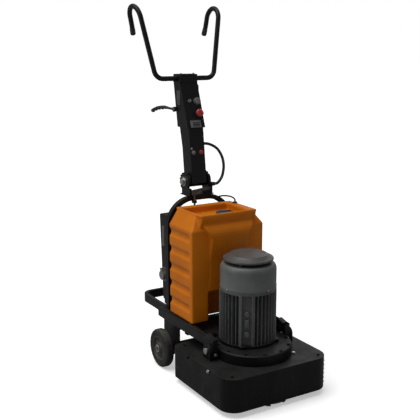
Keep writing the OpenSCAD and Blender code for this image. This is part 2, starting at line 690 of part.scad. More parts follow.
module frame_bolts() color(light_grey) {
    both_sides() {
        for (z = [186, 204, 222]) translate([rail_in - 8, my + 400, z]) rotate([0, -90, 0])
            hex_bolt(6);
        translate([wheel_out, axle_y, axle_z]) rotate([0, 90, 0]) ring(19, axle_r, 0.5, 5);
        translate([loop_x, my + 566, loop_z - 14]) rotate([0, 90, 0]) hex_bolt(10);
        translate([rail_in + 14, rail_front, 208]) rotate([90, 0, 0]) hex_bolt(8);
    }
    for (z = [70, door_h - 70]) on_back() rod_z(3, z - 24, z + 24, door_pin_x, 8);
}

// ------------------------------------------------------------------ wheels
wheel_in = wheel_out - wheel_w;
rim_r = 62;
module tyre() color([0.07, 0.07, 0.07]) translate([wheel_in, axle_y, axle_z]) rotate([0, 90, 0])
    rotate_extrude() polygon(concat([[rim_r, 2]], [[rim_r + 18, 0]],
        arc(wheel_r - 8, 8, 8, -90, 0, 4), arc(wheel_r - 8, wheel_w - 8, 8, 0, 90, 4),
        [[rim_r + 18, wheel_w]], [[rim_r, wheel_w - 2]]));
module hub() color([0.42, 0.42, 0.42]) translate([wheel_in, axle_y, axle_z]) rotate([0, 90, 0])
    difference() {
        rotate_extrude() polygon([[axle_r + run, 0], [26, 0], [30, 10], [rim_r - 8, 12],
            [rim_r - 4, 2], [rim_r, 2], [rim_r, wheel_w - 2], [rim_r - 4, wheel_w - 2],
            [rim_r - 8, wheel_w - 12], [30, wheel_w - 10], [26, wheel_w - 1], [axle_r + run,
            wheel_w - 1]]);
        for (k = [0:5]) rotate(60 * k + 30) translate([42, 0, -e]) cylinder(r = 5, h = wheel_w + 1);
    }

// ------------------------------------------------------------------ column
module in_column() { translate([0, pivot_y, pivot_z]) rotate([-column_lean, 0, 0]) children(); }
column_top = 274;
foot_r = 30;
column_rear = 37;                            // rear face behind the tilt pivot, at the foot
column_front = column_d - column_rear;
flare_z = 173;                               // the rear face leans out above this
flare = 13;
// side view of the tube in the column's own frame, drawn inside by d
module column_profile(d, z) {
    w = column_w / 2 - d;
    side_prism([[-column_front + d, z], [column_rear - d, z], [column_rear - d, max(z, flare_z)],
        [column_rear + flare - d, column_top], [-column_front + d, column_top]], -w, w);
}
module column_tube() color(black) in_column() difference() {
    union() {
        column_profile(0, -14);
        rod_x(foot_r, -ear_x + gap, ear_x - gap, 0, 0);
    }
    column_profile(4, 44);
    box([-30, 30], [-30, 30], [column_top - 10, column_top + e]);
    rod_x(tilt_pin_r, -ear_x - e, ear_x + e, 0, 0);
}
box_x = 51;
box_low = pivot_z + 268;
box_high = 1412;
front_low = my + 472;
front_high = my + 551;
back_low = my + 578;
back_high = my + 616;
panel_lean = atan2(front_high - front_low, box_high - box_low);
module control_box() color(black) difference() {
    side_prism([[front_low, box_low], [front_high, box_high], [back_high, box_high],
        [back_low, box_low]], -box_x, box_x);
    side_prism([[front_low + 4, box_low + 4], [front_high + 4, box_high - 4],
        [back_high - 4, box_high - 4], [back_low - 4, box_low + 4]], -box_x + 3, box_x - 3);
    in_column() column_profile(0, 160);
    on_panel() translate([knob_at[0], 0, knob_at[1]]) rotate([-90, 0, 0]) translate([0, 0, -1])
        cylinder(r = 5 + run, h = 8);
    on_panel() translate([stop_at[0], 0, stop_at[1]]) rotate([-90, 0, 0]) translate([0, 0, -1])
        cylinder(r = 11 + run, h = 10);
}
// panel frame: origin at the lower front edge, z up the face, -y out of it
module on_panel() { translate([0, front_low, box_low]) rotate([-panel_lean, 0, 0]) children(); }
knob_at = [26, 136];
stop_at = [24, 72];
switch_at = [-16, 138];
module speed_knob() color(light_grey) on_panel() translate([knob_at[0], 0, knob_at[1]])
    rotate([90, 0, 0]) {
        translate([0, 0, 0.5]) cylinder(r = 18, h = 15);
        translate([0, 0, -8]) cylinder(r = 5, h = 9);
        translate([-2.5, 0, 15]) cube([5, 17, 4]);
    }
module emergency_stop() color([0.8, 0.05, 0.04]) on_panel() translate([stop_at[0], 0, stop_at[1]])
    rotate([90, 0, 0]) {
        translate([0, 0, 14]) cylinder(r = 20, h = 12);
        translate([0, 0, -10]) cylinder(r = 11, h = 25);
    }
module display_panel() color(light_grey) on_panel() {
    box([-31, 28], [-4, 0], [2, 38]);
    box([-24, 21], [-6, -4], [8, 32]);
    translate([switch_at[0], 0, switch_at[1]]) rotate([90, 0, 0]) cylinder(r = 8, h = 12);
}
module signal_lamps() color([0.75, 0.1, 0.08]) in_column() for (x = [-24, 20])
    translate([x, -column_front, 142]) rotate([90, 0, 0]) {
        cylinder(r = 11, h = 4);
        cylinder(r = 8, h = 10);
    }
bar_y = my + 583;
bar_z = 1431;
module bar_clamp() color(black) difference() {
    union() {
        box([-box_x, box_x], [front_high - 2, back_high + 4], [box_high, 1446]);
        box([-48, 48], [front_high - 6, back_high + 6], [1446, 1453]);
    }
    rod_x(bar_r, -box_x - 5, box_x + 5, bar_y, bar_z);
}
// handlebar: half of the centre line, from the middle of the base to the hook's end
bar_half = 166;                              // half width where the arms leave the base
bar_top = [222, my + 628, 1726];             // where an arm runs into its hook
hook_r = 58;
bar_bend = 46;
function arm_dir() = unit(bar_top - [bar_half, bar_y, bar_z]);
function corner(p, a, b, r, n = 8) = let (u = unit(a - p), v = unit(b - p), h = acos(u * v) / 2,
    c = p + unit(u + v) * r / sin(h), s = p + u * r / tan(h), f = p + v * r / tan(h))
    [for (i = [0:n]) let (t = i / n, w = unit((1 - t) * unit(s - c) + t * unit(f - c))) c + r * w];
function hook_point(a) = bar_top + hook_r * (sin(a) * arm_dir() + (1 - cos(a)) * [0, 1, 0]);
function half_bar() = concat([[10, bar_y, bar_z]],
    corner([bar_half, bar_y, bar_z], [0, bar_y, bar_z], bar_top, bar_bend),
    [bar_top - arm_dir() * 60], [for (a = [0:15:180]) hook_point(a)],
    [hook_point(180) - arm_dir() * 40 + [0, 6, 0], hook_point(180) - arm_dir() * 78 + [0, 16, 0]]);
function mirror_x(p) = [for (q = p) [-q[0], q[1], q[2]]];
function reversed(p) = [for (i = [len(p) - 1:-1:0]) p[i]];
module handlebar() color(black) {
    sweep(concat(reversed(mirror_x(half_bar())), half_bar()), bar_r, 16);
}
module column_bolts() color(light_grey) {
    translate([0, pivot_y, pivot_z]) {
        rod_x(tilt_pin_r, -ear_x - ear_t - 4, ear_x + ear_t + 4, 0, 0);
        both_sides() translate([ear_x + ear_t + gap, 0, 0]) rotate([0, 90, 0]) ring(24, tilt_pin_r, 0, 3);
        both_sides() translate([ear_x + ear_t + 3 + gap, 0, 0]) rotate([0, 90, 0])
            cylinder(r = 17, h = 12, $fn = 6);
    }
    in_column() translate([-34, -column_front, 162]) rotate([90, 0, 0]) hex_bolt(5);
    for (x = [-36, 36]) translate([x, my + 566, 1453]) hex_bolt(6);
}
// cable conduit from the column's right side to the right ear of the yoke
conduit_r = 7.5;
conduit_start = [column_w / 2 + 0.3, my + 506, 1105];
conduit_end = [92, my + 452, 902];
conduit_route = [conduit_start, [48, my + 506, 1105], [56, my + 506, 1105], [90, my + 498, 1100],
    [124, my + 480, 1078], [144, my + 464, 1038], [149, my + 454, 992], [140, my + 450, 945],
    [124, my + 450, 917], [110, my + 452, 904], [102, my + 452, 902], [97, my + 452, 902], conduit_end];
module conduit() color([0.06, 0.06, 0.06]) {
    sweep(curve(conduit_route, 4), conduit_r, 10);
}
lever_pivot = [-box_x - 8, my + 596, 1277];
lever_route = [lever_pivot, [-66, my + 618, 1279], [-82, my + 660, 1284], [-98, my + 705, 1278],
    [-110, my + 742, 1262]];
module release_lever() color(black) difference() {
    union() {
        sweep(curve(lever_route, 4), 8, 12);
        rod_x(13, -box_x - 14, -box_x - gap, lever_pivot[1], lever_pivot[2]);
    }
    rod_x(4, -box_x - 20, -box_x + 5, lever_pivot[1], lever_pivot[2]);
}

side_rails();
deck_plate();
cross_members();
tank_mounts();
axle_plates();
axle();
rear_loop();
loop_brackets();
arch_frame();
hinge_yoke();
tank();
tank_cap();
tank_hose();
cabinet();
cabinet_door();
door_latch();
cable_glands();
power_inlet();
inlet_lid();
inverter();
frame_bolts();
lock_rod();
shroud();
dust_skirt();
gear_case();
ring_gear();
motor_flange();
motor_housing();
fan_cowl();
rain_hat();
terminal_box();
bearings();
pivot_pins();
head_bolts();
motor_shaft();
rotor_core();
cooling_fan();
cup_gear();
planet_carrier();
planet_gear(0);  // planet_gear_1
planet_gear(1);  // planet_gear_2
planet_gear(2);  // planet_gear_3
grinding_plate(0);  // grinding_plate_1
grinding_plate(1);  // grinding_plate_2
grinding_plate(2);  // grinding_plate_3
mirror([1, 0, 0]) tyre();  // left_tyre
mirror([1, 0, 0]) hub();  // left_hub
tyre();  // right_tyre
hub();  // right_hub
column_tube();
control_box();
bar_clamp();
handlebar();
column_bolts();
display_panel();
signal_lamps();
conduit();
release_lever();
emergency_stop();
speed_knob();
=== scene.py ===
import math
import random

import bmesh
import bpy
from mathutils import Matrix, Vector


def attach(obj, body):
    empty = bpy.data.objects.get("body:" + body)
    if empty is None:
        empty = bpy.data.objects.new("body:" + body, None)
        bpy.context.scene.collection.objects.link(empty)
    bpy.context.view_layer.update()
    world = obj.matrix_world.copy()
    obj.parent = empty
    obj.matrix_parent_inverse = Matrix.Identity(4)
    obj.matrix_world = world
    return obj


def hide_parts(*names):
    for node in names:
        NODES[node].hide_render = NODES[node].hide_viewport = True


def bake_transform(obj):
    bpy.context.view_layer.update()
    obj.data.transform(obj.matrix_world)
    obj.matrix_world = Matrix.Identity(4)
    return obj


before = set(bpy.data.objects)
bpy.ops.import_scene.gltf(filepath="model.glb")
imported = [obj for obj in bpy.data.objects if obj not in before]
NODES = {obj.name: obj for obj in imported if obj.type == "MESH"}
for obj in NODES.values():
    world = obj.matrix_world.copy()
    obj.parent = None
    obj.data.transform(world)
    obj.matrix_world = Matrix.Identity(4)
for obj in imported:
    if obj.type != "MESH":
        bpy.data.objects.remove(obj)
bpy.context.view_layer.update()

random.seed(11)

# levels and axes of the machine, in metres
MY = -0.261                                    # motor axis
HY = MY - 0.042                                # head axis
PIVOT = Vector((0, MY + 0.488, 0.922))         # the column's tilt axis
LEAN = math.radians(7)                         # of the column at rest
PANEL_LOW = Vector((0, MY + 0.472, 1.190))     # lower edge of the sloping control panel
PANEL_LEAN = math.atan2(0.079, 0.222)
DOOR_LEAN = math.atan2(0.030, 0.475)           # the cabinet's back leans like this
DOOR_FOOT = Vector((0, MY + 0.545, 0.277))
PAD_ANGLES = (-126, -36, 54, 144)              # flat pads round the motor housing
PAD_FACE = 0.1150                              # from the motor axis
FIN_ROOT, FIN_TIP = 0.108, 0.1328
WHEEL = Vector((0.225, MY + 0.406, 0.098))     # inner side of the right wheel, on its axle
WHEEL_WIDTH = 0.043
RIGHT_ANGLE = math.radians(90)

# the camera
AZIMUTH, PITCH = math.radians(-31.2), math.radians(12.1)
LENS = 65.07
EYE = (-1.9099, -3.0716, 1.5842)


# ---------------------------------------------------------------- camera
def aim(obj, spot, target):
    obj.location = spot
    obj.rotation_euler = (Vector(target) - Vector(spot)).to_track_quat("-Z", "Y").to_euler()


def make_camera():
    data = bpy.data.cameras.new("camera")
    data.sensor_width = 36
    data.lens = LENS
    data.clip_end = 200
    cam = bpy.data.objects.new("camera", data)
    bpy.context.scene.collection.objects.link(cam)
    back = Vector((math.sin(AZIMUTH) * math.cos(PITCH), -math.cos(AZIMUTH) * math.cos(PITCH),
                   math.sin(PITCH)))
    right = Vector((math.cos(AZIMUTH), math.sin(AZIMUTH), 0))
    turn = Matrix((right, back.cross(right), back)).transposed()
    cam.matrix_world = Matrix.Translation(EYE) @ turn.to_4x4()
    bpy.context.scene.camera = cam


make_camera()


# ---------------------------------------------------------------- materials
class Nodes:
    """A material's node tree, with short ways to add what the finishes share."""

    def __init__(self, name, **sockets):
        self.material = bpy.data.materials.new(name)
        self.material.use_nodes = True
        self.tree = self.material.node_tree
        self.tree.nodes.clear()
        self.shader = self.add("ShaderNodeBsdfPrincipled")
        out = self.add("ShaderNodeOutputMaterial")
        self.join(self.shader.outputs[0], out.inputs[0])
        for key, value in sockets.items():
            self.shader.inputs[key.replace("_", " ")].default_value = value
        self.coord = self.add("ShaderNodeTexCoord")

    def add(self, kind, **settings):
        node = self.tree.nodes.new(kind)
        for key, value in settings.items():
            setattr(node, key, value)
        return node

    def join(self, a, b):
        self.tree.links.new(a, b)

    def place(self, stretch=(1, 1, 1)):
        mapping = self.add("ShaderNodeMapping")
        mapping.inputs["Scale"].default_value = stretch
        self.join(self.coord.outputs["Object"], mapping.inputs["Vector"])
        return mapping.outputs[0]

    def noise(self, scale, detail=4, rough=0.55, stretch=(1, 1, 1)):
        node = self.add("ShaderNodeTexNoise")
        node.inputs["Scale"].default_value = scale
        node.inputs["Detail"].default_value = detail
        node.inputs["Roughness"].default_value = rough
        self.join(self.place(stretch), node.inputs["Vector"])
        return node.outputs["Fac"]

    def ramp(self, value, low, high, a=0.0, b=1.0):
        node = self.add("ShaderNodeMapRange")
        node.inputs["From Min"].default_value = low
        node.inputs["From Max"].default_value = high
        node.inputs["To Min"].default_value = a
        node.inputs["To Max"].default_value = b
        self.join(value, node.inputs["Value"])
        return node.outputs["Result"]

    def math(self, operation, a, b):
        node = self.add("ShaderNodeMath", operation=operation)
        for socket, value in zip(node.inputs, (a, b)):
            if isinstance(value, (int, float)):
                socket.default_value = value
            else:
                self.join(value, socket)
        return node.outputs[0]

    def mix(self, factor, a, b):
        node = self.add("ShaderNodeMix", data_type="RGBA")
        self.join(factor, node.inputs["Factor"])
        for socket, value in ((node.inputs[6], a), (node.inputs[7], b)):
            if isinstance(value, tuple):
                socket.default_value = (*value, 1)
            else:
                self.join(value, socket)
        return node.outputs[2]

    def facing_up(self):
        split = self.add("ShaderNodeSeparateXYZ")
        self.join(self.coord.outputs["Normal"], split.inputs[0])
        return split.outputs["Z"]

    def edges(self, radius=0.004):
        """1 along convex and concave edges, 0 on flat faces."""
        bevel = self.add("ShaderNodeBevel", samples=4)
        bevel.inputs["Radius"].default_value = radius
        shape = self.add("ShaderNodeNewGeometry")
        dot = self.add("ShaderNodeVectorMath", operation="DOT_PRODUCT")
        self.join(bevel.outputs[0], dot.inputs[0])
        self.join(shape.outputs["Normal"], dot.inputs[1])
        return self.ramp(dot.outputs["Value"], 0.99, 0.90)

    def finish(self, color, rough, height, strength, distance):
        self.join(color, self.shader.inputs["Base Color"])
        self.join(rough, self.shader.inputs["Roughness"])
        bump = self.add("ShaderNodeBump")
        bump.inputs["Strength"].default_value = strength
        bump.inputs["Distance"].default_value = distance
        self.join(height, bump.inputs["Height"])
        self.join(bump.outputs[0], self.shader.inputs["Normal"])
        return self.material


def painted(name, dark, light, worn, dust, rough=(0.30, 0.48), dusty=0.5, wear=0.6, peel=420,
            strength=0.12, specular=0.5, film_top=0.12):
    """Paint on metal: cloudy tone, orange peel, scuffs, worn edges and dust on what faces up."""
    n = Nodes(name, Specular_IOR_Level=specular)
    color = n.mix(n.ramp(n.noise(4.5, 5, 0.6), 0.35, 0.65), dark, light)
    scuff = n.ramp(n.noise(26, 6, 0.75, (1, 1, 0.35)), 0.60, 0.74)
    color = n.mix(n.math("MULTIPLY", scuff, 0.35), color, worn)
    chipped = n.math("MULTIPLY", n.edges(), n.ramp(n.noise(60, 5, 0.7), 0.45, 0.62))
    color = n.mix(n.math("MULTIPLY", chipped, wear), color, worn)
    settled = n.math("MULTIPLY", n.ramp(n.facing_up(), 0.35, 0.95),
                     n.ramp(n.noise(9, 6, 0.65), 0.28, 0.70, 0.35, 1.0))
    film = n.ramp(n.noise(7, 4, 0.6, (1, 1, 0.4)), 0.45, 0.80, 0.0, film_top)
    powder = n.math("MULTIPLY", n.math("ADD", settled, film), dusty)
    color = n.mix(powder, color, dust)
    gloss = n.ramp(n.noise(16, 5, 0.6), 0.3, 0.7, rough[0], rough[1])
    gloss = n.math("ADD", gloss, n.math("MULTIPLY", powder, 0.45))
    grain = n.math("ADD", n.noise(peel, 2, 0.5), n.math("MULTIPLY", scuff, 0.25))
    return n.finish(color, gloss, grain, strength, 0.0006)


def moulded(name, dark, light, dust, rough=(0.38, 0.55), dusty=0.25, grain=900, strength=0.15,
            worn=None, coat=0.0, specular=0.5):
    """Plastic or rubber: slight tone changes, fine moulded grain, rubbed edges, some dust."""
    n = Nodes(name, Coat_Weight=coat, Specular_IOR_Level=specular)
    color = n.mix(n.ramp(n.noise(5, 4, 0.55), 0.35, 0.68), dark, light)
    rubbed = n.math("MULTIPLY", n.edges(0.003), n.ramp(n.noise(35, 5, 0.7), 0.42, 0.66))
    color = n.mix(n.math("MULTIPLY", rubbed, 0.4), color, worn or dust)
    stains = n.ramp(n.noise(13, 7, 0.7, (1, 1, 0.3)), 0.56, 0.78, 0.0, 0.5)
    settled = n.math("MULTIPLY", n.ramp(n.facing_up(), 0.4, 1.0),
                     n.ramp(n.noise(11, 6, 0.6), 0.3, 0.7, 0.4, 1.0))
    powder = n.math("MULTIPLY", n.math("ADD", settled, stains), dusty)
    color = n.mix(powder, color, dust)
    gloss = n.ramp(n.noise(22, 4, 0.6), 0.3, 0.7, rough[0], rough[1])
    gloss = n.math("ADD", gloss, n.math("MULTIPLY", powder, 0.35))
    return n.finish(color, gloss, n.noise(grain, 3, 0.6), strength, 0.0004)


def metal(name, dark, light, rough=(0.22, 0.42), brushed=(1, 1, 1), scale=90, strength=0.15,
          grime=(0.05, 0.045, 0.04), dirty=0.5):
    """Bare or plated metal: fine machining lines, and patches of tarnish and grime."""
    n = Nodes(name, Metallic=1.0)
    lines = n.noise(scale, 6, 0.7, brushed)
    color = n.mix(n.ramp(lines, 0.3, 0.7), dark, light)
    tarnish = n.ramp(n.noise(38, 6, 0.7), 0.5, 0.72, 0.0, dirty)
    color = n.mix(tarnish, color, grime)
    gloss = n.math("ADD", n.ramp(lines, 0.3, 0.7, rough[0], rough[1]),
                   n.math("MULTIPLY", tarnish, 0.4))
    return n.finish(color, gloss, lines, strength, 0.0004)


DUST = (0.23, 0.22, 0.20)
MATS = {
    "black_paint": painted("black_paint_worn", (0.0040, 0.0040, 0.0050), (0.0090, 0.0090, 0.0105),
                           (0.060, 0.056, 0.053), (0.090, 0.085, 0.080), dusty=0.20, wear=0.42,
                           rough=(0.34, 0.50), specular=0.28),
    "shroud_paint": painted("shroud_paint_dusty", (0.0020, 0.0020, 0.0024),
                            (0.0048, 0.0048, 0.0056), (0.048, 0.046, 0.043),
                            (0.052, 0.050, 0.047), dusty=0.36, wear=0.40, rough=(0.34, 0.52),
                            specular=0.20),
    "motor_paint": painted("motor_paint_grey", (0.100, 0.109, 0.104), (0.142, 0.153, 0.147),
                           (0.26, 0.26, 0.25), (0.19, 0.183, 0.172), dusty=0.26, wear=0.5,
                           rough=(0.34, 0.48), peel=300, strength=0.18, film_top=0.25),
    # the rain hat's paint is a darker copy of the motor paint: painted shade that keeps its
    # up-facing top as dark as the cowl
    "hat_paint": painted("rain_hat_paint", (0.058, 0.057, 0.054), (0.092, 0.089, 0.084),
                         (0.24, 0.235, 0.225), (0.105, 0.096, 0.088), dusty=0.30, wear=0.7,
                         rough=(0.34, 0.46), peel=300, strength=0.18, film_top=0.3),
    "motor_cast": painted("motor_casting", (0.060, 0.066, 0.063), (0.100, 0.108, 0.104),
                          (0.30, 0.30, 0.29), (0.22, 0.215, 0.20), dusty=0.26, wear=0.8,
                          rough=(0.42, 0.58), peel=210, strength=0.35, film_top=0.25),
    "tank_plastic": moulded("tank_plastic_orange", (0.63, 0.168, 0.002), (0.76, 0.212, 0.004),
                            (0.34, 0.150, 0.022), rough=(0.40, 0.54), dusty=0.12, grain=700,
                            strength=0.22, worn=(0.82, 0.34, 0.05), specular=0.22),
    "black_plastic": moulded("black_plastic_grained", (0.012, 0.012, 0.012),
                             (0.022, 0.022, 0.023), DUST),
    "black_rubber": moulded("black_rubber_soft", (0.011, 0.011, 0.011), (0.020, 0.020, 0.020),
                            DUST, rough=(0.55, 0.75), dusty=0.3, grain=500),
    "tyre_rubber": moulded("tyre_rubber_scuffed", (0.012, 0.0115, 0.011), (0.031, 0.030, 0.028),
                           (0.12, 0.112, 0.10), rough=(0.70, 0.90), dusty=0.6, grain=260,
                           strength=0.5),
    "wheel_paint": painted("wheel_paint_grey", (0.028, 0.027, 0.025), (0.068, 0.065, 0.060),
                           (0.16, 0.15, 0.14), (0.12, 0.113, 0.10), dusty=0.5, wear=0.6,
                           rough=(0.5, 0.7), strength=0.3, film_top=0.5),
    "grey_plastic": moulded("grey_plastic_pale", (0.13, 0.14, 0.145), (0.19, 0.20, 0.205),
                            (0.15, 0.145, 0.13), dusty=0.4),
    "box_plate": moulded("box_plate_grey", (0.060, 0.062, 0.066), (0.095, 0.098, 0.10),
                         (0.12, 0.115, 0.11), dusty=0.4),
    "pale_plastic": moulded("pale_plastic_lid", (0.145, 0.143, 0.138), (0.205, 0.202, 0.195),
                            (0.12, 0.115, 0.105), dusty=0.4),
    "label_plate": moulded("label_plate_pale", (0.080, 0.079, 0.075), (0.125, 0.123, 0.117),
                           (0.065, 0.062, 0.056), dusty=0.5, rough=(0.30, 0.42)),
    "red_plastic": moulded("red_plastic_gloss", (0.42, 0.012, 0.016), (0.55, 0.020, 0.024),
                           (0.30, 0.12, 0.10), rough=(0.18, 0.32), dusty=0.12, coat=0.4,
                           strength=0.06),
    "dark_glass": moulded("display_glass", (0.015, 0.022, 0.020), (0.030, 0.040, 0.036), DUST,
                          rough=(0.10, 0.20), dusty=0.1, coat=0.5, strength=0.03),
    "cast_steel": metal("cast_steel_ground", (0.16, 0.155, 0.15), (0.30, 0.29, 0.28),
                        rough=(0.40, 0.60), scale=60, strength=0.4),
    "bright_steel": metal("bright_steel_turned", (0.42, 0.42, 0.42), (0.62, 0.62, 0.61),
                          brushed=(0.2, 0.2, 6), scale=140),
    "axle_end": metal("axle_end_dull", (0.10, 0.098, 0.095), (0.19, 0.185, 0.18),
                      rough=(0.45, 0.62), scale=90, dirty=0.7),
    "zinc": metal("zinc_plated", (0.40, 0.40, 0.39), (0.60, 0.60, 0.57), rough=(0.28, 0.46),
                  scale=160, grime=(0.10, 0.09, 0.08), dirty=0.4),
    "drive_electronics": moulded("drive_case", (0.045, 0.048, 0.055), (0.065, 0.070, 0.080),
                                 DUST),
}


# ---------------------------------------------------------------- building helpers
def piece(name, verts, faces, body, mat, slot, stands_for=(), sharp=35):
    """A new mesh in the row frame that rides on a body, or on no body if body is None."""
    mesh = bpy.data.meshes.new(name)
    mesh.from_pydata([tuple(v) for v in verts], [], faces)
    work = bmesh.new()
    work.from_mesh(mesh)
    bmesh.ops.remove_doubles(work, verts=work.verts, dist=1e-6)
    bmesh.ops.recalc_face_normals(work, faces=work.faces)
    work.to_mesh(mesh)
    work.free()
    return adopt(name, mesh, body, mat, stands_for, sharp)


def adopt(name, mesh, body, mat, stands_for=(), sharp=35):
    mesh.shade_smooth()
    mesh.set_sharp_from_angle(angle=math.radians(sharp))
    mesh.materials.clear()
    mesh.materials.append(MATS[mat])
    obj = bpy.data.objects.new(name, mesh)
    bpy.context.scene.collection.objects.link(obj)
    if body:
        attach(obj, body)
    if stands_for:
        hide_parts(*stands_for)
    return obj


def bake_modifiers(obj):
    """Applies the modifiers of an object that isn't a CAD node."""
    deps = bpy.context.evaluated_depsgraph_get()
    mesh = bpy.data.meshes.new_from_object(obj.evaluated_get(deps))
    obj.modifiers.clear()
    obj.data = mesh
    return obj


def cad_mesh(node, keep=None):
    """A welded copy of a CAD node's mesh; keep(center) picks which of its loose solids stay."""
    work = bmesh.new()
    work.from_mesh(NODES[node].data)
    bmesh.ops.remove_doubles(work, verts=work.verts, dist=2e-5)
    bmesh.ops.dissolve_limit(work, angle_limit=math.radians(0.5), verts=work.verts,
                             edges=work.edges)
    if keep:
        seen, drop = set(), []
        for start in work.verts:
            if start in seen:
                continue
            island, stack = [], [start]
            seen.add(start)
            while stack:
                v = stack.pop()
                island.append(v)
                for edge in v.link_edges:
                    other = edge.other_vert(v)
                    if other not in seen:
                        seen.add(other)
                        stack.append(other)
            low = Vector([min(v.co[i] for v in island) for i in range(3)])
            high = Vector([max(v.co[i] for v in island) for i in range(3)])
            if not keep((low + high) / 2, high - low):
                drop += island
        bmesh.ops.delete(work, geom=drop, context="VERTS")
    mesh = bpy.data.meshes.new(node + "_copy")
    work.to_mesh(mesh)
    work.free()
    if mesh.attributes.get("custom_normal"):
        mesh.attributes.remove(mesh.attributes["custom_normal"])
    return mesh


def round_edges(obj, width):
    bevel = obj.modifiers.new("edges", "BEVEL")
    bevel.width = width
    bevel.segments = 2
    bevel.limit_method = "ANGLE"
    bevel.angle_limit = math.radians(38)
    bevel.harden_normals = True
    return bevel


def cad_finish(node, mat, width):
    """A CAD node that keeps its shape: a finish, and fine rounded edges from modifiers."""
    obj = NODES[node]
    obj.data.materials.clear()
    obj.data.materials.append(MATS[mat])
    if obj.data.attributes.get("custom_normal"):
        obj.data.attributes.remove(obj.data.attributes["custom_normal"])
    weld = obj.modifiers.new("weld", "WELD")
    weld.merge_threshold = 2e-5
    flat = obj.modifiers.new("flat", "DECIMATE")
    flat.decimate_type = "DISSOLVE"
    flat.angle_limit = math.radians(0.5)
    round_edges(obj, width).use_clamp_overlap = False


def lathe(profile, center, steps=64, axis="Z"):
    """Surface of revolution of (radius, height) pairs; radius 0 closes to a point."""
    turn = {"Z": Matrix.Identity(3), "X": Matrix.Rotation(RIGHT_ANGLE, 3, "Y"),
            "Y": Matrix.Rotation(-RIGHT_ANGLE, 3, "X")}[axis]
    verts, faces, rows = [], [], []
    for r, h in profile:
        row = []
        for k in range(1 if r == 0 else steps):
            a = 2 * math.pi * k / steps
            verts.append(Vector(center) + turn @ Vector((r * math.cos(a), r * math.sin(a), h)))
            row.append(len(verts) - 1)
        rows.append(row)
    for a, b in zip(rows, rows[1:]):
        for k in range(steps):
            quad = [a[k % len(a)], a[(k + 1) % len(a)], b[(k + 1) % len(b)], b[k % len(b)]]
            face = list(dict.fromkeys(quad))
            if len(face) > 2:
                faces.append(face)
    return verts, faces


def smooth_path(points, step=0.004):
    """Catmull-Rom curve through points, resampled at an even step."""
    pts = [Vector(p) for p in points]
    dense = []
    for i in range(len(pts) - 1):
        a, b = pts[max(i - 1, 0)], pts[i]
        c, d = pts[i + 1], pts[min(i + 2, len(pts) - 1)]
        for j in range(24):
            t = j / 24
            dense.append(0.5 * (2 * b + (c - a) * t + (2 * a - 5 * b + 4 * c - d) * t * t
                                + (3 * b - a - 3 * c + d) * t ** 3))
    dense.append(pts[-1])
    even, left = [dense[0]], step
    for a, b in zip(dense, dense[1:]):
        length = (b - a).length
        done = 0.0
        while length - done >= left:
            done += left
            even.append(a.lerp(b, done / length))
            left = step
        left -= length - done
    if (even[-1] - dense[-1]).length < step * 0.5:
        even.pop()
    even.append(dense[-1])
    return even


def tube(path, radius, sides=20):
    """Round tube along a path, closed at both ends; radius is a number, or a function of
    (share of the path, direction from its middle)."""
    size = radius if callable(radius) else (lambda t, d: radius)
    verts, faces = [], []
    tangent = [(path[min(i + 1, len(path) - 1)] - path[max(i - 1, 0)]).normalized()
               for i in range(len(path))]
    side = tangent[0].cross(Vector((0.3, 0.2, 0.9))).normalized()
    for i, (p, t) in enumerate(zip(path, tangent)):
        side = (side - t * side.dot(t)).normalized()
        other = t.cross(side)
        for k in range(sides):
            a = 2 * math.pi * k / sides
            d = side * math.cos(a) + other * math.sin(a)
            verts.append(p + d * size(i / (len(path) - 1), d))
    for i in range(len(path) - 1):
        for k in range(sides):
            a, b = i * sides + k, i * sides + (k + 1) % sides
            faces.append([a, b, b + sides, a + sides])
    faces.append(list(range(sides))[::-1])
    faces.append([(len(path) - 1) * sides + k for k in range(sides)])
    return verts, faces


def rounded(path, radius, sides):
    """Tube with domed ends, added as closely spaced rings."""
    t0 = (path[0] - path[1]).normalized()
    t1 = (path[-1] - path[-2]).normalized()
    angles = [math.radians(a) for a in (30, 55, 75, 86)]
    bulge = 0.6                                   # the domes are flatter than half balls
    front = [path[0] + t0 * radius * bulge * math.sin(a) for a in reversed(angles)]
    end = [path[-1] + t1 * radius * bulge * math.sin(a) for a in angles]
    out = front + list(path) + end
    sizes = ([radius * math.cos(a) for a in reversed(angles)] + [radius] * len(path)
             + [radius * math.cos(a) for a in angles])
    return tube(out, lambda t, d: sizes[round(t * (len(out) - 1))], sides)


def merge(*parts):
    verts, faces = [], []
    for v, f in parts:
        base = len(verts)
        verts += list(v)
        faces += [[i + base for i in face] for face in f]
    return verts, faces


def transform(part, matrix):
    return [matrix @ Vector(v) for v in part[0]], part[1]


def soft_box(low, high, r=0.002, n=2):
    """Box with rounded edges."""
    work = bmesh.new()
    bmesh.ops.create_cube(work, size=1)
    low, high = Vector(low), Vector(high)
    for v in work.verts:
        v.co = Vector([low[i] + (v.co[i] + 0.5) * (high[i] - low[i]) for i in range(3)])
    bmesh.ops.bevel(work, geom=work.edges[:], offset=r, segments=n, affect="EDGES", profile=0.5)
    work.verts.index_update()
    part = ([v.co.copy() for v in work.verts], [[v.index for v in f.verts] for f in work.faces])
    work.free()
    return part


def prism(outline, z0, z1):
    """Upright prism of an (x, y) outline, with end faces."""
    count = len(outline)
    verts = [Vector((x, y, z0)) for x, y in outline] + [Vector((x, y, z1)) for x, y in outline]
    faces = [[k, (k + 1) % count, count + (k + 1) % count, count + k] for k in range(count)]
    return verts, faces + [list(range(count))[::-1], [count + k for k in range(count)]]


def hexagon(r, z0, z1):
    return prism([(r * math.cos(math.radians(60 * k)), r * math.sin(math.radians(60 * k)))
                  for k in range(6)], z0, z1)


def on_column(part):
    return transform(part, Matrix.Translation(PIVOT) @ Matrix.Rotation(-LEAN, 4, "X"))


def on_panel(part):
    return transform(part, Matrix.Translation(PANEL_LOW) @ Matrix.Rotation(-PANEL_LEAN, 4, "X"))


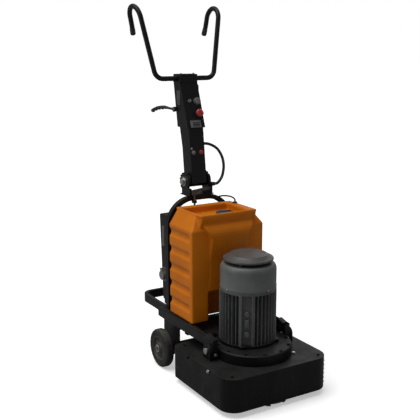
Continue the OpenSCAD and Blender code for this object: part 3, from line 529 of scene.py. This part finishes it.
def out_of_panel(x, z):
    """Frame whose +Z leaves the sloping control panel at local (x, z)."""
    return Matrix.Translation((x, 0, z)) @ Matrix.Rotation(RIGHT_ANGLE, 4, "X")


# ---------------------------------------------------------------- CAD nodes that stay
# node, finish, width of its rounded edges
for node, mat, width in (
        ("side_rails", "black_paint", 0.0020), ("deck_plate", "black_paint", 0.0008),
        ("cross_members", "black_paint", 0.0010), ("axle_plates", "black_paint", 0.0008),
        ("rear_loop", "black_paint", 0.0020), ("loop_brackets", "black_paint", 0.0012),
        ("arch_frame", "black_paint", 0.0020), ("hinge_yoke", "black_paint", 0.0010),
        ("shroud", "shroud_paint", 0.0022), ("gear_case", "shroud_paint", 0.0012),
        ("cabinet", "black_paint", 0.0012), ("cabinet_door", "black_paint", 0.0012),
        ("column_tube", "black_paint", 0.0016), ("control_box", "black_paint", 0.0014),
        ("bar_clamp", "black_paint", 0.0012), ("lock_rod", "axle_end", 0.0006),
        ("tank_mounts", "black_rubber", 0.0008), ("axle", "axle_end", 0.0006),
        ("dust_skirt", "black_rubber", 0.0008), ("motor_flange", "shroud_paint", 0.0012),
        ("terminal_box", "motor_paint", 0.0015), ("pivot_pins", "zinc", 0.0008),
        ("door_latch", "zinc", 0.0008), ("power_inlet", "pale_plastic", 0.0008),
        ("inlet_lid", "pale_plastic", 0.0008), ("inverter", "drive_electronics", 0.002),
        ("cable_glands", "black_plastic", 0.0006), ("frame_bolts", "zinc", 0.0005),
        ("column_bolts", "zinc", 0.0005), ("display_panel", "grey_plastic", 0.0006),
        ("left_hub", "wheel_paint", 0.0008), ("right_hub", "wheel_paint", 0.0008),
        ("grinding_plate_1", "cast_steel", 0.0006), ("grinding_plate_2", "cast_steel", 0.0006),
        ("grinding_plate_3", "cast_steel", 0.0006), ("planet_carrier", "cast_steel", 0.0006)):
    cad_finish(node, mat, width)
for node, mat in (("bearings", "bright_steel"), ("ring_gear", "cast_steel"),
                  ("motor_shaft", "bright_steel"), ("rotor_core", "cast_steel"),
                  ("cooling_fan", "black_plastic"), ("cup_gear", "bright_steel"),
                  ("planet_gear_1", "bright_steel"), ("planet_gear_2", "bright_steel"),
                  ("planet_gear_3", "bright_steel")):
    NODES[node].data.materials.clear()
    NODES[node].data.materials.append(MATS[mat])


# ---------------------------------------------------------------- tank
def ease(value, low, high):
    """0 below low, 1 above high, and a smooth step between them."""
    share = min(1.0, max(0.0, (value - low) / (high - low)))
    return share * share * (3 - 2 * share)


def smooth(obj, times):
    soften = obj.modifiers.new("soften", "SMOOTH")
    soften.factor = 0.5
    soften.iterations = times
    bake_modifiers(obj)


def make_tank():
    """The moulded shell: the CAD solid with melted edges and a softer bulge."""
    mesh = cad_mesh("tank", keep=lambda center, size: size.x > 0.4)
    tank = adopt("tank_shell", mesh, "chassis", "tank_plastic", ("tank",))
    remesh = tank.modifiers.new("voxels", "REMESH")
    remesh.mode = "VOXEL"
    remesh.voxel_size = 0.0036
    smooth(tank, 9)
    # the forward bulge flares to the rim's corners, and runs out into the flat front below
    face = MY + 0.172
    bulge, corner = 0.110, 0.152                  # half widths
    for v in tank.data.vertices:
        across = abs(v.co.x)
        if across < corner and v.co.y < MY + 0.222 and 0.45 < v.co.z < 0.779:
            half = bulge - 0.007 * ease(v.co.z, 0.45, 0.52) + 0.038 * ease(v.co.z, 0.690, 0.772)
            if across <= bulge:
                across *= half / bulge
            else:
                across = half + (across - bulge) * (corner - half) / (corner - bulge)
            v.co.x = math.copysign(across, v.co.x)
    for v in tank.data.vertices:
        if abs(v.co.x) < 0.150 and v.co.y < face - 0.0006 and v.co.z < 0.74:
            v.co.y = face - (face - v.co.y) * (0.06 + 0.94 * ease(v.co.z, 0.575, 0.735))
    smooth(tank, 4)
    tank.data.shade_smooth()


def make_tank_cap():
    neck = Vector((0.060, MY + 0.300, 0.780))
    steps = 96
    wall = []
    for k in range(steps):
        r = 0.042 + (0.0016 if k % 2 else 0.0)
        wall.append((r * math.cos(2 * math.pi * k / steps), r * math.sin(2 * math.pi * k / steps)))
    cap = merge(prism(wall, 0.001, 0.006),
                lathe([(0.0, 0.0085), (0.034, 0.0085), (0.0405, 0.0078), (0.042, 0.006),
                       (0.041, 0.0058), (0, 0.0055)], (0, 0, 0), steps),
                soft_box((-0.034, -0.005, 0.007), (0.034, 0.005, 0.013), 0.0022, 3),
                lathe([(0, -0.014), (0.0330, -0.014), (0.0336, -0.012), (0.0336, 0.002),
                       (0, 0.002)], (0, 0, 0), 48))
    piece("tank_cap_ribbed", *transform(cap, Matrix.Translation(neck)), "tank_cap",
          "black_plastic", "black_plastic", ("tank_cap",))


make_tank()
make_tank_cap()


# ---------------------------------------------------------------- motor
def motor_outline():
    """Cast housing in plan: thin fins with rounded tips, and four recessed pads between bars."""
    points = []
    span = 17.2                                   # half angle taken by a pad with its two bars
    fins = 40

    def at(degrees, r):
        a = math.radians(degrees)
        return (r * math.cos(a), MY + r * math.sin(a))

    def from_pad(pad, across, r):
        a = math.radians(pad)
        return (r * math.cos(a) - across * math.sin(a), MY + r * math.sin(a) + across * math.cos(a))

    marks = []
    for k in range(fins):
        degrees = 360 * (k + 0.5) / fins
        if all(abs((degrees - pad + 180) % 360 - 180) > span for pad in PAD_ANGLES):
            marks.append((degrees % 360, "fin"))
    marks += [(pad % 360, "pad") for pad in PAD_ANGLES]
    for angle, kind in sorted(marks):
        if kind == "fin":
            root, tip = math.degrees(0.0028 / FIN_ROOT), math.degrees(0.0017 / 0.133)
            points += [at(angle - root, FIN_ROOT), at(angle - tip, 0.1305),
                       at(angle - tip * 0.55, FIN_TIP), at(angle + tip * 0.55, FIN_TIP),
                       at(angle + tip, 0.1305), at(angle + root, FIN_ROOT)]
        else:
            points += [from_pad(angle, a, r) for a, r in (
                (-0.0375, 0.104), (-0.0370, 0.1285), (-0.0355, 0.1300), (-0.0245, 0.1335),
                (-0.0230, 0.1320), (-0.0225, PAD_FACE), (0.0225, PAD_FACE), (0.0230, 0.1320),
                (0.0245, 0.1335), (0.0355, 0.1300), (0.0370, 0.1285), (0.0375, 0.104))]
    return points


def make_motor():
    z0, z1 = 0.248, 0.485                         # foot and top of the finned housing
    body = merge(
        prism(motor_outline(), z0, z1),
        lathe([(0.100, z1 - 0.001), (0.131, z1 - 0.001), (0.1328, z1 + 0.001), (0.1328, z1 + 0.010),
               (0.131, z1 + 0.012), (0.100, z1 + 0.012)], (0, MY, 0), 96))
    piece("motor_casting", *body, "head", "motor_cast", "motor_paint", ("motor_housing",), 30)
    for k, pad in enumerate(PAD_ANGLES):
        out = Matrix.Translation((0, MY, 0)) @ Matrix.Rotation(math.radians(pad), 4, "Z") \
            @ Matrix.Translation((PAD_FACE, 0, 0)) @ Matrix.Rotation(RIGHT_ANGLE, 4, "Y")
        boss = merge(
            transform(lathe([(0, 0), (0.0115, 0), (0.0108, 0.013), (0.0095, 0.015), (0, 0.015)],
                            (0, 0, 0), 28), Matrix.Translation((-0.398, 0, 0))),
            transform(lathe([(0, 0), (0.0125, 0), (0.0115, 0.013), (0.0105, 0.015), (0, 0.015)],
                            (0, 0, 0), 28), Matrix.Translation((-0.300, 0, 0))),
            soft_box((-0.372, -0.010, -0.001), (-0.330, 0.010, 0.012), 0.002))
        piece(f"motor_bosses_{k + 1}", *transform(boss, out), "head", "motor_cast", "motor_paint")
    cowl = lathe([(0.124, 0.4975), (0.1325, 0.4975), (0.1335, 0.4995), (0.1335, 0.506),
                  (0.1320, 0.509), (0.1320, 0.584), (0.1312, 0.592), (0.1288, 0.5995),
                  (0.1248, 0.6060), (0.1195, 0.6105), (0.1130, 0.6120), (0.098, 0.6120),
                  (0.030, 0.6120), (0.024, 0.6120), (0.024, 0.609), (0.112, 0.609),
                  (0.1225, 0.603), (0.129, 0.590), (0.129, 0.499), (0.124, 0.4975)],
                 (0, MY, 0), 96)
    piece("motor_cowl", *cowl, "head", "motor_paint", "motor_paint", ("fan_cowl",), 40)
    screws = []
    for a in (10, 100, 190, 280):
        turn = Matrix.Translation((0, MY, 0.503)) @ Matrix.Rotation(math.radians(a), 4, "Z") \
            @ Matrix.Translation((0.1330, 0, 0)) @ Matrix.Rotation(RIGHT_ANGLE, 4, "Y")
        screws.append(transform(lathe([(0, 0), (0.0045, 0), (0.0045, 0.0015), (0.003, 0.003),
                                       (0, 0.0032)], (0, 0, 0), 16), turn))
    piece("cowl_screws", *merge(*screws), "head", "zinc", "zinc")
    hat = [lathe([(0, 0.6500), (0.050, 0.6502), (0.074, 0.6512), (0.080, 0.6530),
                  (0.0865, 0.6530), (0.089, 0.6515), (0.094, 0.6475), (0.112, 0.6375),
                  (0.1165, 0.6360), (0.1180, 0.6335), (0.1180, 0.6285),
                  (0.1165, 0.6280), (0.1105, 0.6280), (0.1100, 0.6295), (0.108, 0.6330),
                  (0.090, 0.6450), (0, 0.6470)], (0, MY, 0), 96)]
    for a in (33.75, 123.75, 213.75, 303.75):
        x, y = 0.094 * math.cos(math.radians(a)), MY + 0.094 * math.sin(math.radians(a))
        hat.append(lathe([(0, 0.6115), (0.0065, 0.6115), (0.006, 0.614), (0.006, 0.645),
                          (0, 0.645)], (x, y, 0), 20))
    # the hat wears the darker copy of the motor paint, as painted shade on its up-facing top
    piece("rain_hat_spun", *merge(*hat), "head", "hat_paint", "motor_paint", ("rain_hat",), 40)


make_motor()


# ---------------------------------------------------------------- bolts
def split_bolts():
    """Most head bolts are painted over; the few at the front left and right are still plated."""
    def plated(center, _size=None):
        around = math.degrees(math.atan2(center.y - HY, center.x))
        on_flange = 0.18 < center.z < 0.20 and 0.188 < math.hypot(center.x, center.y - HY) < 0.20
        on_side = abs(center.x) > 0.28 and center.y < MY - 0.05
        return on_side or (on_flange and (around > 160 or -45 < around < -30))

    for name, mat, keep in (
            ("head_bolts_plated", "zinc", plated),
            ("head_bolts_painted", "shroud_paint", lambda center, _size: not plated(center))):
        mesh = cad_mesh("head_bolts", keep)
        stands = ("head_bolts",) if mat == "zinc" else ()
        obj = adopt(name, mesh, "head", mat, stands)
        round_edges(obj, 0.0005)
        bake_modifiers(obj)


split_bolts()


# ---------------------------------------------------------------- wheels
def make_tyre(name, side, node):
    """A solid tyre with a fine groove near each edge and a slightly uneven, worn tread."""
    profile = [(0.062, 0.002), (0.066, 0.001), (0.070, 0.0025), (0.074, 0.0005), (0.084, 0.0),
               (0.0905, 0.0012), (0.0950, 0.0042), (0.0975, 0.0090), (0.0980, 0.0130),
               (0.0980, 0.0140), (0.0964, 0.0146), (0.0964, 0.0164), (0.0980, 0.0170)]
    profile += [(r, WHEEL_WIDTH - h) for r, h in reversed(profile)]
    verts, faces = lathe([(r, side * h) for r, h in profile], (0, 0, 0), 96, "X")
    spot = Vector((side * WHEEL.x, WHEEL.y, WHEEL.z))
    worn = []
    for v in verts:
        r = math.hypot(v.y, v.z)
        k = 1 - 0.0008 / r * (1 + math.sin(v.y * 190) * math.sin(v.z * 230)) * (r > 0.09)
        worn.append(spot + Vector((v.x, v.y * k, v.z * k)))
    piece(name, worn, faces, f"{'left' if side < 0 else 'right'}_wheel", "tyre_rubber",
          "tyre_rubber", (node,), 50)


make_tyre("left_tyre_worn", -1, "left_tyre")
make_tyre("right_tyre_worn", 1, "right_tyre")


# ---------------------------------------------------------------- handlebar
def bend(corner, before, after, radius):
    """Points along the arc that rounds a corner of a bent tube."""
    steps = 14
    u, v = (before - corner).normalized(), (after - corner).normalized()
    half = math.acos(u.dot(v)) / 2
    center = corner + (u + v).normalized() * radius / math.sin(half)
    start, end = corner + u * radius / math.tan(half), corner + v * radius / math.tan(half)
    return [center + ((start - center).lerp(end - center, i / steps)).normalized() * radius
            for i in range(steps + 1)]


def make_handlebar():
    base = Vector((0.166, MY + 0.583, 1.431))
    top = Vector((0.222, MY + 0.628, 1.726))
    arm = (top - base).normalized()
    back = Vector((0, 1, 0))

    def hook(a):
        a = math.radians(a)
        return top + 0.058 * (math.sin(a) * arm + (1 - math.cos(a)) * back)

    half = [Vector((0.010, base.y, base.z)), Vector((0.06, base.y, base.z))]
    half += bend(base, Vector((0, base.y, base.z)), top, 0.046)
    half += [base.lerp(top, t) for t in (0.3, 0.5, 0.7, 0.9)]
    half += [hook(a) for a in range(0, 181, 6)]
    tip = [hook(180) - arm * 0.040 + back * 0.006, hook(180) - arm * 0.078 + back * 0.016]
    half += tip
    path = [Vector((-p.x, p.y, p.z)) for p in reversed(half)] + half
    piece("handlebar_tube", *rounded(path, 0.0125, 24), "column", "black_paint", "black_paint",
          ("handlebar",), 60)
    caps = []
    for s in (-1, 1):
        ends = [Vector((s * p.x, p.y, p.z)) for p in (tip[0].lerp(tip[1], 0.35), tip[1])]
        caps.append(rounded(smooth_path(ends, 0.004), 0.0136, 24))
    piece("hook_end_caps", *merge(*caps), "column", "black_rubber", "black_rubber")


make_handlebar()


# ---------------------------------------------------------------- conduit and hose
def make_cables():
    start = Vector((0.0423, MY + 0.506, 1.105))
    end = Vector((0.092, MY + 0.452, 0.902))
    route = [start, (0.048, MY + 0.506, 1.105), (0.056, MY + 0.506, 1.105),
             (0.090, MY + 0.498, 1.100), (0.124, MY + 0.480, 1.078), (0.144, MY + 0.464, 1.038),
             (0.149, MY + 0.454, 0.992), (0.140, MY + 0.450, 0.945), (0.124, MY + 0.450, 0.917),
             (0.110, MY + 0.452, 0.904), (0.102, MY + 0.452, 0.902), (0.097, MY + 0.452, 0.902),
             end]
    path = smooth_path(route, 0.00125)
    count = len(path)
    ridge = [0.0075 if i % 4 < 2 else 0.0069 for i in range(count)]
    conduit = piece("conduit_corrugated",
                    *tube(path, lambda t, d: ridge[round(t * (count - 1))], 18), None,
                    "black_rubber", "black_rubber", ("conduit",), 50)
    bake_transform(conduit)
    turn = Matrix.Translation(start - Vector((0.0003, 0, 0))) \
        @ Matrix.Rotation(RIGHT_ANGLE, 4, "Y")
    gland = merge(hexagon(0.0135, 0.0, 0.006),
                  lathe([(0.0076, 0.005), (0.0115, 0.005), (0.0112, 0.013), (0.0095, 0.017),
                         (0.0076, 0.017)], (0, 0, 0), 28))
    piece("conduit_gland", *transform(gland, turn), "column", "black_plastic", "black_plastic")
    hose = [(0.142, MY + 0.335, 0.8243), (0.142, MY + 0.335, 0.828), (0.142, MY + 0.335, 0.832),
            (0.140, MY + 0.340, 0.839), (0.134, MY + 0.352, 0.845), (0.124, MY + 0.370, 0.848),
            (0.112, MY + 0.392, 0.847), (0.102, MY + 0.410, 0.843), (0.093, MY + 0.421, 0.837),
            (0.090, MY + 0.427, 0.834), (0.090, MY + 0.430, 0.834), (0.090, MY + 0.4336, 0.834)]
    piece("tank_hose_smooth", *tube(smooth_path(hose, 0.002), 0.004, 16), "chassis",
          "black_rubber", "black_rubber", ("tank_hose",), 60)


make_cables()


# ---------------------------------------------------------------- controls
def make_lever():
    pivot = Vector((-0.059, MY + 0.596, 1.277))
    route = [pivot, (-0.066, MY + 0.618, 1.279), (-0.082, MY + 0.660, 1.284),
             (-0.098, MY + 0.705, 1.278), (-0.110, MY + 0.742, 1.262)]
    path = smooth_path(route, 0.002)

    def grip(t, d):
        base = 0.0062 + 0.0026 * min(1, max(0, (t - 0.22) * 6))
        fingers = 0.0012 + 0.0024 * math.cos((t - 0.35) * 42) if t > 0.38 else 0
        return base + (fingers * min(1, -d.z * 1.6) if d.z < 0 else 0.0)

    boss = transform(lathe([(0, 0.0), (0.012, 0.0), (0.013, 0.0012), (0.013, 0.0124),
                            (0.012, 0.0136), (0.005, 0.0136), (0.0045, 0.0160), (0, 0.0164)],
                           (0, 0, 0), 36),
                     Matrix.Translation((-0.0514, pivot.y, pivot.z))
                     @ Matrix.Rotation(-RIGHT_ANGLE, 4, "Y"))
    piece("lever_grip", *merge(tube(path, grip, 24), boss), "release_lever", "black_plastic",
          "black_plastic", ("release_lever",), 60)
    # plated washer outside the lever's boss
    piece("lever_washer", *transform(lathe([(0, 0), (0.009, 0), (0.009, 0.0012), (0, 0.0012)],
                                           (0, 0, 0), 28),
                                     Matrix.Translation((-0.0646, pivot.y, pivot.z))
                                     @ Matrix.Rotation(-RIGHT_ANGLE, 4, "Y")),
          "release_lever", "zinc", "zinc")


make_lever()


def make_controls():
    flutes = 30
    wall = []
    for k in range(flutes * 4):
        a = 2 * math.pi * k / (flutes * 4)
        r = 0.0180 - (0.0010 if k % 4 in (2, 3) else 0.0)
        wall.append((r * math.cos(a), r * math.sin(a)))
    knob = merge(prism(wall, 0.0020, 0.0135),
                 lathe([(0, 0.0155), (0.0150, 0.0155), (0.0168, 0.0148), (0.0171, 0.0134),
                        (0, 0.0130)], (0, 0, 0), 60),
                 lathe([(0, -0.008), (0.005, -0.008), (0.005, 0.0025), (0.0185, 0.0012),
                        (0.0185, 0.0025), (0, 0.0030)], (0, 0, 0), 48),
                 soft_box((-0.0022, 0.001, 0.0150), (0.0022, 0.0165, 0.0185), 0.0008))
    piece("knob_fluted", *on_panel(transform(knob, out_of_panel(0.026, 0.136))), "speed_knob",
          "grey_plastic", "grey_plastic", ("speed_knob",), 30)
    stop = lathe([(0, 0.0275), (0.006, 0.0272), (0.012, 0.0262), (0.0165, 0.0243),
                  (0.0192, 0.0215), (0.0200, 0.0185), (0.0196, 0.0160), (0.0180, 0.0145),
                  (0.0120, 0.0140), (0.0110, 0.0135), (0.0110, -0.010), (0, -0.010)],
                 (0, 0, 0), 56)
    piece("stop_mushroom", *on_panel(transform(stop, out_of_panel(0.024, 0.072))),
          "emergency_stop", "red_plastic", "red_plastic", ("emergency_stop",), 50)
    collar = lathe([(0.0112, -0.0002), (0.0175, -0.0002), (0.0175, 0.0025), (0.0160, 0.0045),
                    (0.0125, 0.0050), (0.0112, 0.0045), (0.0112, -0.0002)], (0, 0, 0), 48)
    piece("stop_collar", *on_panel(transform(collar, out_of_panel(0.024, 0.072))), "column",
          "black_plastic", "black_plastic")
    for name, x, mat, slot, stands in (
            ("lamp_grey", -0.024, "grey_plastic", "grey_plastic", ("signal_lamps",)),
            ("lamp_red", 0.020, "red_plastic", "red_plastic", ())):
        lamp = lathe([(0, 0.0105), (0.004, 0.0101), (0.0068, 0.0088), (0.0078, 0.0068),
                      (0.0080, 0.0042), (0.0100, 0.0040), (0.0110, 0.0030), (0.0110, -0.0003),
                      (0, -0.0003)], (0, 0, 0), 36)
        spot = Matrix.Translation((x, -0.043, 0.142)) @ Matrix.Rotation(RIGHT_ANGLE, 4, "X")
        piece(name, *on_column(transform(lamp, spot)), "column", mat, slot, stands, 50)
    screen = soft_box((-0.0215, -0.0066, 0.0100), (0.0185, -0.0055, 0.0215), 0.0004)
    piece("display_window", *on_panel(screen), "column", "dark_glass", "black_plastic")
    keys = [soft_box((x - 0.0035, -0.0072, 0.0242), (x + 0.0035, -0.0055, 0.0300), 0.0008)
            for x in (-0.016, -0.0055, 0.005, 0.0155)]
    piece("display_keys", *on_panel(merge(*keys)), "column", "black_plastic", "black_plastic")
    toggle = merge(
        lathe([(0, 0.0125), (0.0040, 0.0125), (0.0062, 0.0118), (0.0070, 0.0118),
               (0.0078, 0.0105), (0.0082, -0.0002), (0, -0.0002)], (0, 0, 0), 32),
        soft_box((-0.0018, -0.0065, 0.0115), (0.0018, 0.0065, 0.0185), 0.0012, 3))
    piece("switch_handle", *on_panel(transform(toggle, out_of_panel(-0.016, 0.138))), "column",
          "grey_plastic", "grey_plastic")
    # pale service plate on the left side of the control box
    plate = soft_box((-0.0522, MY + 0.548, 1.300), (-0.0505, MY + 0.582, 1.372), 0.0006)
    piece("box_side_plate", *plate, "column", "box_plate", "grey_plastic")


make_controls()


# ---------------------------------------------------------------- cabinet details
def louvre(outline, start, end):
    """A pressed slat: a four-cornered outline moved from start to end."""
    verts = [Vector(p) + shift for shift in (start, end) for p in outline]
    return verts, [[0, 1, 2, 3], [7, 6, 5, 4]] + [[i, i + 4, (i + 1) % 4 + 4, (i + 1) % 4]
                                                  for i in range(4)]


def make_cabinet_details():
    plate = soft_box((-0.1562, MY + 0.538, 0.584), (-0.1545, MY + 0.562, 0.690), 0.0005)
    piece("cabinet_side_plate", *plate, "chassis", "label_plate", "grey_plastic")
    rivets = []
    for z in (0.590, 0.684):
        rivets.append(transform(lathe([(0, 0.0016), (0.0014, 0.0012), (0.002, 0), (0, 0)],
                                      (0, 0, 0), 14),
                                Matrix.Translation((-0.1560, MY + 0.550, z))
                                @ Matrix.Rotation(-RIGHT_ANGLE, 4, "Y")))
    piece("cabinet_plate_rivets", *merge(*rivets), "chassis", "zinc", "zinc")
    # pressed cooling louvres on the cabinet's right side
    louvres = []
    for k in range(7):
        z = 0.36 + 0.022 * k
        outline = [(0.1548, 0, z), (0.1548, 0, z + 0.011), (0.1596, 0, z + 0.0008),
                   (0.1600, 0, z)]
        louvres.append(louvre(outline, Vector((0, MY + 0.440, 0)), Vector((0, MY + 0.520, 0))))
    piece("cabinet_louvres", *merge(*louvres), "chassis", "black_paint", "black_paint")


make_cabinet_details()


def make_small_details():
    # a row of rivets up the shroud's front right corner
    rivets = []
    center = Vector((0.282 - 0.075, MY - 0.275 + 0.075, 0))
    turn = math.radians(-38)
    for k in range(6):
        spot = center + Vector((0.0752 * math.cos(turn), 0.0752 * math.sin(turn),
                                0.050 + 0.021 * k))
        rivets.append(transform(lathe([(0, 0.0024), (0.0022, 0.0020), (0.0040, 0), (0, 0)],
                                      (0, 0, 0), 16),
                                Matrix.Translation(spot) @ Matrix.Rotation(turn, 4, "Z")
                                @ Matrix.Rotation(RIGHT_ANGLE, 4, "Y")))
    piece("shroud_corner_rivets", *merge(*rivets), "head", "zinc", "zinc")
    clip = merge(soft_box((0.0505, MY + 0.544, 1.372), (0.0530, MY + 0.556, 1.400), 0.0008),
                 soft_box((0.0525, MY + 0.547, 1.376), (0.0575, MY + 0.553, 1.396), 0.0015))
    piece("box_side_clip", *clip, "column", "zinc", "zinc")
    # pressed louvres low on the cabinet door
    on_door = Matrix.Translation(DOOR_FOOT) @ Matrix.Rotation(-DOOR_LEAN, 4, "X")
    louvres = []
    for k in range(6):
        z = 0.060 + 0.016 * k
        outline = [(0, 0.0118, z), (0, 0.0118, z + 0.009), (0, 0.0158, z + 0.0008),
                   (0, 0.0162, z)]
        louvres.append(louvre(outline, Vector((-0.070, 0, 0)), Vector((0.070, 0, 0))))
    piece("door_louvres", *transform(merge(*louvres), on_door), "cabinet_door", "black_paint",
          "black_paint")


make_small_details()


# ---------------------------------------------------------------- weld beads
def weld(name, lines, body):
    """Rippled weld beads along lines; they ride on the body that they join."""
    radius = 0.0026
    parts = []
    for line in lines:
        path = smooth_path(line, 0.0016) if len(line) > 2 else [
            Vector(line[0]).lerp(Vector(line[1]), i / 40) for i in range(41)]
        count = len(path)
        sizes = [radius * (0.82 + 0.26 * abs(math.sin(i * 0.9)) + random.uniform(-0.06, 0.06))
                 * (0.5 if i in (0, count - 1) else 1) for i in range(count)]
        parts.append(tube(path, lambda t, d, s=sizes, c=count: s[round(t * (c - 1))], 10))
    piece(name, *merge(*parts), body, "black_paint", "black_paint", (), 80)


def both(line):
    return [line, [Vector((-Vector(p).x, Vector(p).y, Vector(p).z)) for p in line]]


weld("frame_welds",
     both([(0.190, MY + 0.4335, 0.2435), (0.190, MY + 0.4335, 0.280)])
     + both([(0.190, MY + 0.4645, 0.2435), (0.190, MY + 0.4645, 0.280)])
     + both([(0.1895, MY + 0.331, 0.2355), (0.1895, MY + 0.429, 0.2355)])
     + both([(0.170, MY + 0.541, 0.2285), (0.170, MY + 0.589, 0.2285)])
     + both([(0.0535, MY + 0.433, 0.8595), (0.0535, MY + 0.508, 0.8595)])
     + both([(0.0665, MY + 0.433, 0.8595), (0.0665, MY + 0.508, 0.8595)])
     + both([(0.150, MY + 0.548, 0.229), (0.150, MY + 0.548, 0.267)])
     + both([(0.189, MY + 0.121, 0.2425), (0.189, MY + 0.239, 0.2425)]), "chassis")
weld("head_welds",
     both([(0.2355, MY - 0.043, 0.1845), (0.2355, MY + 0.015, 0.1845)])
     + both([(0.2195, MY - 0.043, 0.1845), (0.2195, MY + 0.015, 0.1845)]), "head")


# ---------------------------------------------------------------- stage and light
def make_stage():
    dim_floor = (0.34, 0.34, 0.34)                # for every ray but the camera's
    floor_glow = 0.42                             # lifts the floor to white for the camera
    dim_sky, sun_power, sun_width = 0.21, 1.75, 50
    mesh = bpy.data.meshes.new("floor")
    mesh.from_pydata([(-60, -60, 0), (60, -60, 0), (60, 60, 0), (-60, 60, 0)], [], [[0, 1, 2, 3]])
    floor = bpy.data.objects.new("floor", mesh)
    bpy.context.scene.collection.objects.link(floor)
    # the camera sees a white floor and backdrop, while the object is lit by dimmer ones
    paint = Nodes("floor_paint", Roughness=0.9, Specular_IOR_Level=0.1)
    grain = paint.ramp(paint.noise(1.5, 3), 0.3, 0.7)
    white = paint.mix(grain, (0.90, 0.90, 0.90), (0.93, 0.93, 0.93))
    seen = paint.add("ShaderNodeLightPath").outputs["Is Camera Ray"]
    paint.join(paint.mix(seen, dim_floor, white), paint.shader.inputs["Base Color"])
    paint.shader.inputs["Emission Color"].default_value = (1, 1, 1, 1)
    paint.join(paint.math("MULTIPLY", seen, floor_glow), paint.shader.inputs["Emission Strength"])
    mesh.materials.append(paint.material)
    world = bpy.data.worlds.new("studio")
    bpy.context.scene.world = world
    world.use_nodes = True
    tree = world.node_tree
    background = tree.nodes["Background"]
    background.inputs["Color"].default_value = (1, 1, 1, 1)
    level = tree.nodes.new("ShaderNodeMapRange")
    level.inputs["To Min"].default_value = dim_sky
    level.inputs["To Max"].default_value = 1.0
    tree.links.new(tree.nodes.new("ShaderNodeLightPath").outputs["Is Camera Ray"],
                   level.inputs["Value"])
    tree.links.new(level.outputs[0], background.inputs["Strength"])
    sun = bpy.data.lights.new("sky_sun", "SUN")
    sun.energy = sun_power
    sun.angle = math.radians(sun_width)
    lamp = bpy.data.objects.new("sky_sun", sun)
    bpy.context.scene.collection.objects.link(lamp)
    aim(lamp, (-1.15, 0.45, 4), (0, 0, 0))
    for name, spot, target, size, power, tint in (
            ("key", (-3.4, 0.4, 2.3), (0, -0.1, 0.7), 1.6, 19, (1, 0.99, 0.96)),
            ("rim", (3.0, 2.6, 2.4), (0, 0, 0.8), 2.0, 16, (0.97, 0.98, 1))):
        data = bpy.data.lights.new(name, "AREA")
        data.size = size
        data.energy = power
        data.color = tint
        lamp = bpy.data.objects.new(name, data)
        bpy.context.scene.collection.objects.link(lamp)
        aim(lamp, spot, target)
    bpy.context.scene.view_settings.view_transform = "Standard"


make_stage()
